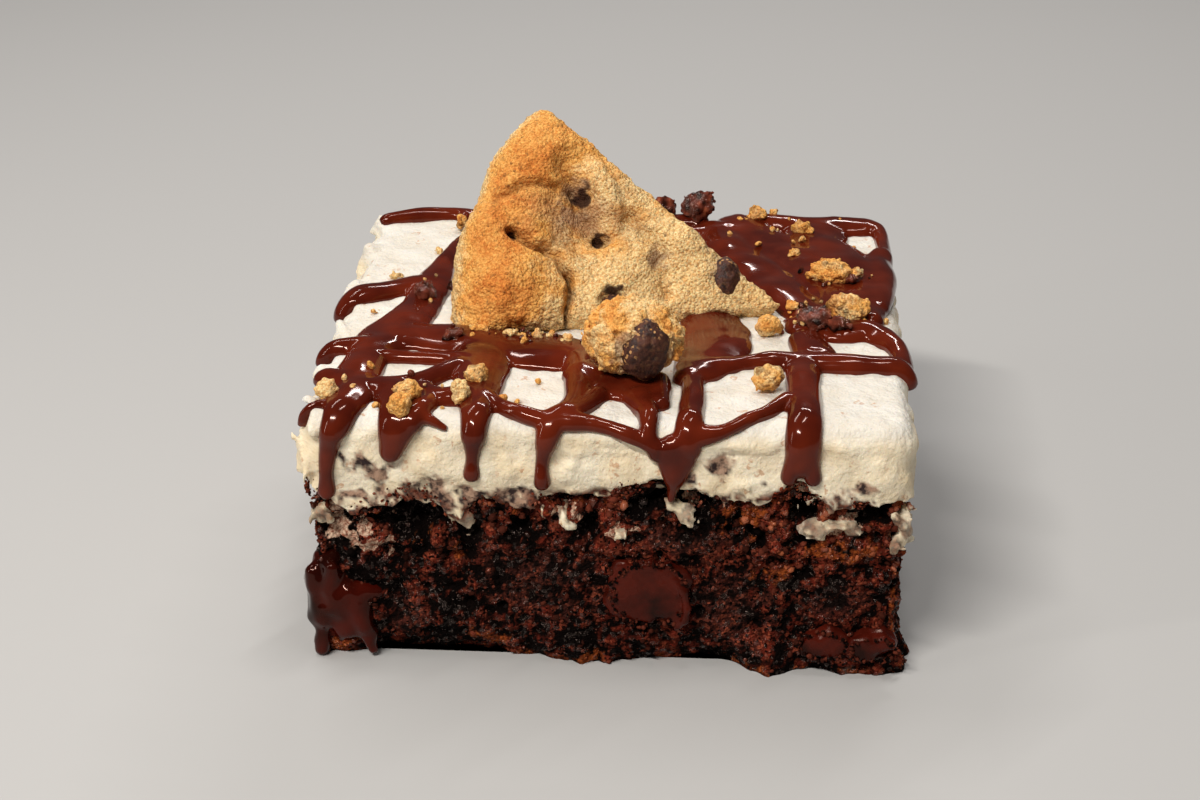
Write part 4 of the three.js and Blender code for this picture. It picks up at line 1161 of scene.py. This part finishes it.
CORNER_FUDGE = [
    # start, end, radius at each
    ((-37.2, -36.4, 13.6), (-36.4, -36.6, 8.0), 2.3, 2.9),
    ((-38.9, -36.6, 10.8), (-38.6, -37.0, 6.0), 2.0, 1.8),
    ((-38.4, -37.3, 6.0), (-38.6, -38.1, 0.9), 1.7, 0.9),
    ((-35.6, -36.6, 9.0), (-35.0, -36.8, 4.6), 3.0, 2.3),
    ((-34.2, -37.0, 9.2), (-30.9, -37.4, 9.6), 2.4, 1.1),
    ((-33.4, -37.2, 7.6), (-31.6, -38.1, 1.2), 2.1, 0.8),
    ((-35.4, -37.2, 4.6), (-35.8, -37.6, 2.2), 1.6, 0.8),
    ((-39.6, -38.0, 12.6), (-38.9, -38.8, 6.0), 0.7, 0.7),
    ((-36.6, -38.6, 13.6), (-37.2, -38.9, 8.2), 0.6, 0.6),
    ((-34.6, -38.9, 10.2), (-32.6, -38.9, 5.0), 0.6, 0.6),
]


FUDGE_LOW = (-43, -43, -0.4)
FUDGE_HIGH = (-27, -30, 18.5)


def fudge_field(p):
    body = np.full(p.shape[:-1], FAR)
    for start, end, radius_start, radius_end in CORNER_FUDGE:
        body = smooth_min(body, rod_field(p, start, end, radius_start, radius_end), 1.2)
    return body - 0.3 * noise(p, 1.8, 1.0)


def fudge_corner_piece():
    points, faces = surface(fudge_field, FUDGE_LOW, FUDGE_HIGH, FUDGE_STEP)
    points[:, 2] = np.maximum(points[:, 2], 0.05)
    add_piece("fudge_corner_glossy", (points, faces), fudge_look(), "fudge", ["fudge_corner"])


LUMPS = [
    # node, middle, half sizes, tilt in degrees, and where the knife cut it
    ("fudge_lump_middle", (6.0, -37.4, 11.1), (5.2, 3.0, 5.0), -14, -38.9),
    ("fudge_lump_right", (29.3, -38.0, 4.5), (3.4, 2.8, 2.0), -4, -39.7),
    ("fudge_lump_far_right", (36.1, -38.4, 4.2), (3.3, 2.8, 1.8), 2, -40.1),
]
LUMP_SQUARENESS = 2.7  # 2 is an ellipsoid, and more is squarer
CURLED_LUMP = "fudge_lump_middle"
CURLED_RIM = [
    (9.3, -38.5, 13.2), (10.5, -38.9, 11.8), (11.0, -39.2, 9.4), (10.8, -39.1, 7.6), (9.6, -38.6, 6.2),
]
RIM_RADIUS = 0.5
RIM_CRUMBS = 14  # to a millimetre of a lump's half width and half height
RIM_CRUMB_SIZES = (0.15, 0.42)
RIM_SEED = 83


def lump_field(p, node, middle, half, tilt, cut):
    turn = math.radians(tilt)
    x, y, z = np.moveaxis(p - np.array(middle), -1, 0)
    across = x * math.cos(turn) + z * math.sin(turn)
    up = z * math.cos(turn) - x * math.sin(turn)
    shares = (np.abs(np.stack([across, y, up], axis=-1) / half) ** LUMP_SQUARENESS).sum(axis=-1)
    body = (shares ** (1 / LUMP_SQUARENESS) - 1) * min(half)
    body = body - 0.9 * noise(p, 3.4, 4.0) - 0.4 * noise(p, 1.2, 4.0)
    body = smooth_max(body, cut - 0.2 * noise(p, 2.4, 9.0) - p[..., 1], 0.8)
    if node == CURLED_LUMP:
        for start, end in zip(CURLED_RIM[:-1], CURLED_RIM[1:]):
            body = smooth_min(body, rod_field(p, start, end, RIM_RADIUS, RIM_RADIUS), 0.5)
    return body


def lump_pieces():
    material = lump_look()
    for lump in LUMPS:
        node, middle, half = lump[:3]
        low, high = np.array(middle) - max(half) - 1.2, np.array(middle) + max(half) + 1.2
        mesh = surface(lump_field, low, high, FUDGE_STEP, *lump)
        add_piece(f"{node}_satin", mesh, material, "dark_chocolate", [node])


def lump_rims():
    """Crumb that clings to the lumps' edges."""
    random = np.random.default_rng(RIM_SEED)
    places = []
    for _, middle, half, tilt, cut in LUMPS:
        amount = round(RIM_CRUMBS * (half[0] + half[2]))
        turn = random.uniform(0, 2 * math.pi, amount)
        reach = random.uniform(0.86, 1.08, amount)
        across, up = half[0] * reach * np.cos(turn), half[2] * reach * np.sin(turn)
        lean = math.radians(tilt)
        x = middle[0] + across * math.cos(lean) - up * math.sin(lean)
        z = middle[2] + across * math.sin(lean) + up * math.cos(lean)
        places.append(np.stack([x, random.normal(cut + 0.1, 0.15, amount), z], axis=1))
    places = np.concatenate(places)
    sizes = random.uniform(*RIM_CRUMB_SIZES, len(places))
    tone, wet = random.uniform(0, 0.6, (2, len(places)))
    add_grains("lump_rim_crumbs", places, sizes, RIM_SEED, tone, wet)


# Crumbs on the icing.

GOLDEN_CRUMBS = [
    # middle, half sizes
    ((30.7, 10.6, 38.9), (3.7, 2.6, 2.0)), ((32.6, -3.4, 38.9), (3.0, 2.5, 2.3)),
    ((21.0, -27.5, 38.2), (1.9, 1.8, 1.9)), ((21.2, -7.8, 37.9), (2.1, 1.6, 1.6)),
    ((-37.1, -34.2, 38.0), (1.5, 1.4, 1.5)), ((-26.3, -35.6, 38.5), (1.8, 1.5, 1.6)),
    ((-27.0, -38.8, 37.9), (1.8, 1.5, 1.5)), ((-19.6, -34.4, 38.2), (1.3, 1.3, 1.8)),
    ((-17.8, -29.2, 38.4), (1.6, 1.5, 1.5)), ((-14.1, -34.1, 37.3), (0.8, 0.7, 0.7)),
    ((20.1, 36.2, 38.4), (1.8, 1.4, 1.3)), ((22.7, 38.0, 38.0), (0.9, 0.7, 0.7)),
    ((27.0, 31.1, 38.2), (1.6, 1.3, 1.2)), ((25.3, 20.5, 38.0), (1.0, 0.9, 0.7)),
    ((26.8, 26.3, 38.0), (0.7, 0.6, 0.5)), ((-33.8, 10.6, 36.7), (1.0, 0.8, 0.5)),
    ((-28.6, 21.5, 36.6), (0.7, 1.0, 0.5)), ((-26.3, 31.5, 37.6), (0.9, 1.3, 1.3)),
    ((-35.0, -3.5, 36.5), (0.6, 0.6, 0.4)), ((17.4, 34.6, 38.0), (0.9, 0.6, 0.5)),
    ((24.6, -0.6, 37.9), (1.0, 0.9, 0.9)), ((-19.0, -12.8, 38.2), (1.7, 0.9, 0.7)),
    ((-14.6, -13.8, 38.1), (1.3, 0.8, 0.6)), ((-11.0, -14.7, 38.2), (1.0, 0.7, 0.8)),
    ((-6.6, -15.6, 38.2), (0.9, 0.7, 0.7)),
]
DARK_CRUMBS = [
    ((10.8, 37.0, 39.0), (2.8, 2.4, 2.6)), ((5.2, 37.2, 38.6), (2.0, 1.7, 1.9)),
    ((27.7, -6.4, 38.4), (2.7, 2.1, 1.6)), ((31.0, -8.0, 38.2), (1.8, 1.5, 1.0)),
    ((-28.2, 0.6, 38.4), (1.5, 2.2, 1.3)), ((-22.6, -15.1, 38.3), (1.3, 1.2, 1.0)),
    ((-24.6, 3.6, 37.9), (0.8, 0.8, 0.7)), ((33.6, 9.0, 38.6), (0.9, 0.8, 0.8)),
]


def crumb_field(p, middle, half, shift):
    lumps = 0.28 * half.min() * noise(p, half.min() * 1.1, shift)
    clods = 0.7 * (0.42 - grains(p + shift, 1.05))
    return ball_field(p, middle, half) - lumps - clods - 0.16 * noise(p, 0.5, shift)


def crumb_mesh(middle, half, seed):
    """A crumb: an uneven ball of small lumps."""
    middle, half = np.array(middle), np.array(half)
    reach = half + 0.9
    return surface(crumb_field, middle - reach, middle + reach, CRUMB_STEP, middle, half, 3.7 * seed)


GOLDEN_SMALL = (31, 70, 0.42)  # seed, amount, the largest's size
DARK_SEED = 40
DARK_SMALL = (77, 40, 0.38)


def crumb_heap(table, first_seed, small):
    """A table's crumbs, and small ones among them."""
    parts = [crumb_mesh(middle, half, first_seed + i) for i, (middle, half) in enumerate(table)]
    return joined([*parts, small_crumbs(*small)])


def golden_crumbs(material):
    mesh = crumb_heap(GOLDEN_CRUMBS, 0, GOLDEN_SMALL)
    bake = np.clip(0.36 + 0.4 * noise(mesh[0], 3.0, 1.0) + 0.2 * noise(mesh[0], 0.8, 6.0), 0, 1)
    dark = 0.5 * smooth(0.5, 0.75, noise(mesh[0], 1.4, 12.0))
    cocoa = 0.3 * smooth(0.35, 0.7, noise(mesh[0], 2.2, 22.0))
    add_piece("cookie_crumbs", mesh, material, "cookie", bake=bake, dark=dark, cocoa=cocoa)


def dark_crumbs():
    mesh = crumb_heap(DARK_CRUMBS, DARK_SEED, DARK_SMALL)
    tone = np.clip(0.5 + 0.5 * noise(mesh[0], 0.9, 1.0), 0, 1)
    wet = 0.8 + 0.4 * noise(mesh[0], 1.6, 14.0)
    add_piece("chocolate_crumbs", mesh, grain_look(), "dark_chocolate", tone=tone, wet=wet)


CRUMBLED = [
    # where small crumbs gather: place, spread, share of them
    (-10, -14, 6.0, 1.6, 0.4), (31, 11, 4.0, 3.0, 0.15), (31, -4, 4.0, 3.0, 0.2), (24, 32, 5.0, 4.0, 0.1),
    (-24, -33, 6.0, 4.0, 0.12), (25, -3, 1.6, 2.6, 0.25), (-28, 3, 1.2, 4.0, 0.12),
]


CRUMBS_ACROSS, CRUMBS_ALONG = 38.0, 36.0  # how far from the middle small crumbs may lie


def small_crumbs(seed, amount, largest):
    """Small crumbs round the places where the larger ones lie."""
    random = np.random.default_rng(seed)
    gathered = np.array(CRUMBLED)
    shares = gathered[:, 4]
    chosen = gathered[random.choice(len(gathered), amount, p=shares / shares.sum())]
    centre, spread = chosen[:, :2], chosen[:, 2:4]
    u, v = (centre + random.normal(0, 1, (amount, 2)) * spread).T
    sizes = random.uniform(0.35, 1, amount) ** 2 * largest + 0.1
    u_kept = np.clip(u, -CRUMBS_ACROSS, CRUMBS_ACROSS)
    at, normal = drape(u_kept, np.clip(v, -CRUMBS_ALONG, CRUMBS_ALONG))
    rise = np.sqrt(np.maximum(strand_depth(u, v), 0))
    places = at + normal * (rise + sizes * 0.5)[:, None]
    return scattered(places, sizes, seed + 1)[0]


# Floor, light and camera.

FLOOR_REACH = 3.0
WORLD_LIGHT = 0.07
LAMP_AIM = (0, 0, 0.03)
COOL = (1.0, 0.98, 0.97)
WARM = (1.0, 0.97, 0.93)
LAMPS = [
    # name, place and size in metres, power in watts, tint
    ("key", (-0.24, 0.2, 0.54), (0.4, 0.018), 0.85, COOL),
    ("back", (0.1, 0.44, 0.42), (0.3, 0.01), 0.8, COOL),
    ("over", (0.06, -0.04, 0.6), (0.2, 0.022), 0.8, COOL),
    ("left", (-0.5, -0.26, 0.24), (0.012, 0.3), 0.45, (1.0, 0.97, 0.94)),
    ("front", (-0.2, -0.4, 0.52), (0.3, 0.035), 3.6, WARM),
]


def floor_piece():
    corners = [(x * FLOOR_REACH, y * FLOOR_REACH, 0) for x, y in ((-1, -1), (1, -1), (1, 1), (-1, 1))]
    data = bpy.data.meshes.new("floor")
    data.from_pydata(corners, [], [(0, 1, 2, 3)])
    look = Look("floor_pale")
    look.set("Base Color", colour(186, 184, 181))
    look.set("Roughness", 0.8)
    data.materials.append(look.material)
    placed("floor", data)


def lights():
    for name, at, size, power, tint in LAMPS:
        data = bpy.data.lights.new(name, "AREA")
        data.shape = "RECTANGLE"
        data.size, data.size_y = size
        data.energy = power
        data.color = tint
        lamp = placed(name, data)
        lamp.location = at
        lamp.rotation_euler = (Vector(LAMP_AIM) - Vector(at)).to_track_quat("-Z", "Y").to_euler()
    world = bpy.data.worlds.new("studio")
    world.use_nodes = True
    sky = world.node_tree.nodes["Background"].inputs
    sky["Color"].default_value = (1, 1, 1, 1)
    sky["Strength"].default_value = WORLD_LIGHT
    bpy.context.scene.world = world


def camera():
    data = bpy.data.cameras.new("camera")
    data.lens = CAMERA_LENS
    data.sensor_width = CAMERA_SENSOR
    data.sensor_fit = "HORIZONTAL"
    data.clip_start = 0.01
    turn = Matrix.Rotation(-CAMERA_TURN, 4, "Z")
    tilt = Matrix.Rotation(math.pi / 2 - CAMERA_DOWN, 4, "X")
    roll = Matrix.Rotation(CAMERA_ROLL, 4, "Z")
    eye = placed("camera", data)
    eye.matrix_world = Matrix.Translation(Vector(CAMERA_AT) * MM) @ turn @ tilt @ roll
    bpy.context.scene.camera = eye


camera()
lights()
floor_piece()
bpy.context.scene.view_settings.view_transform = "Standard"

brownie_grains(*brownie_piece())
icing_piece()
seam_specks()
drizzle_piece()
cookie = cookie_look()
wedge_piece(cookie)
chunk_piece(cookie)
chip_pieces()
fudge_corner_piece()
lump_pieces()
lump_rims()
golden_crumbs(cookie)
dark_crumbs()
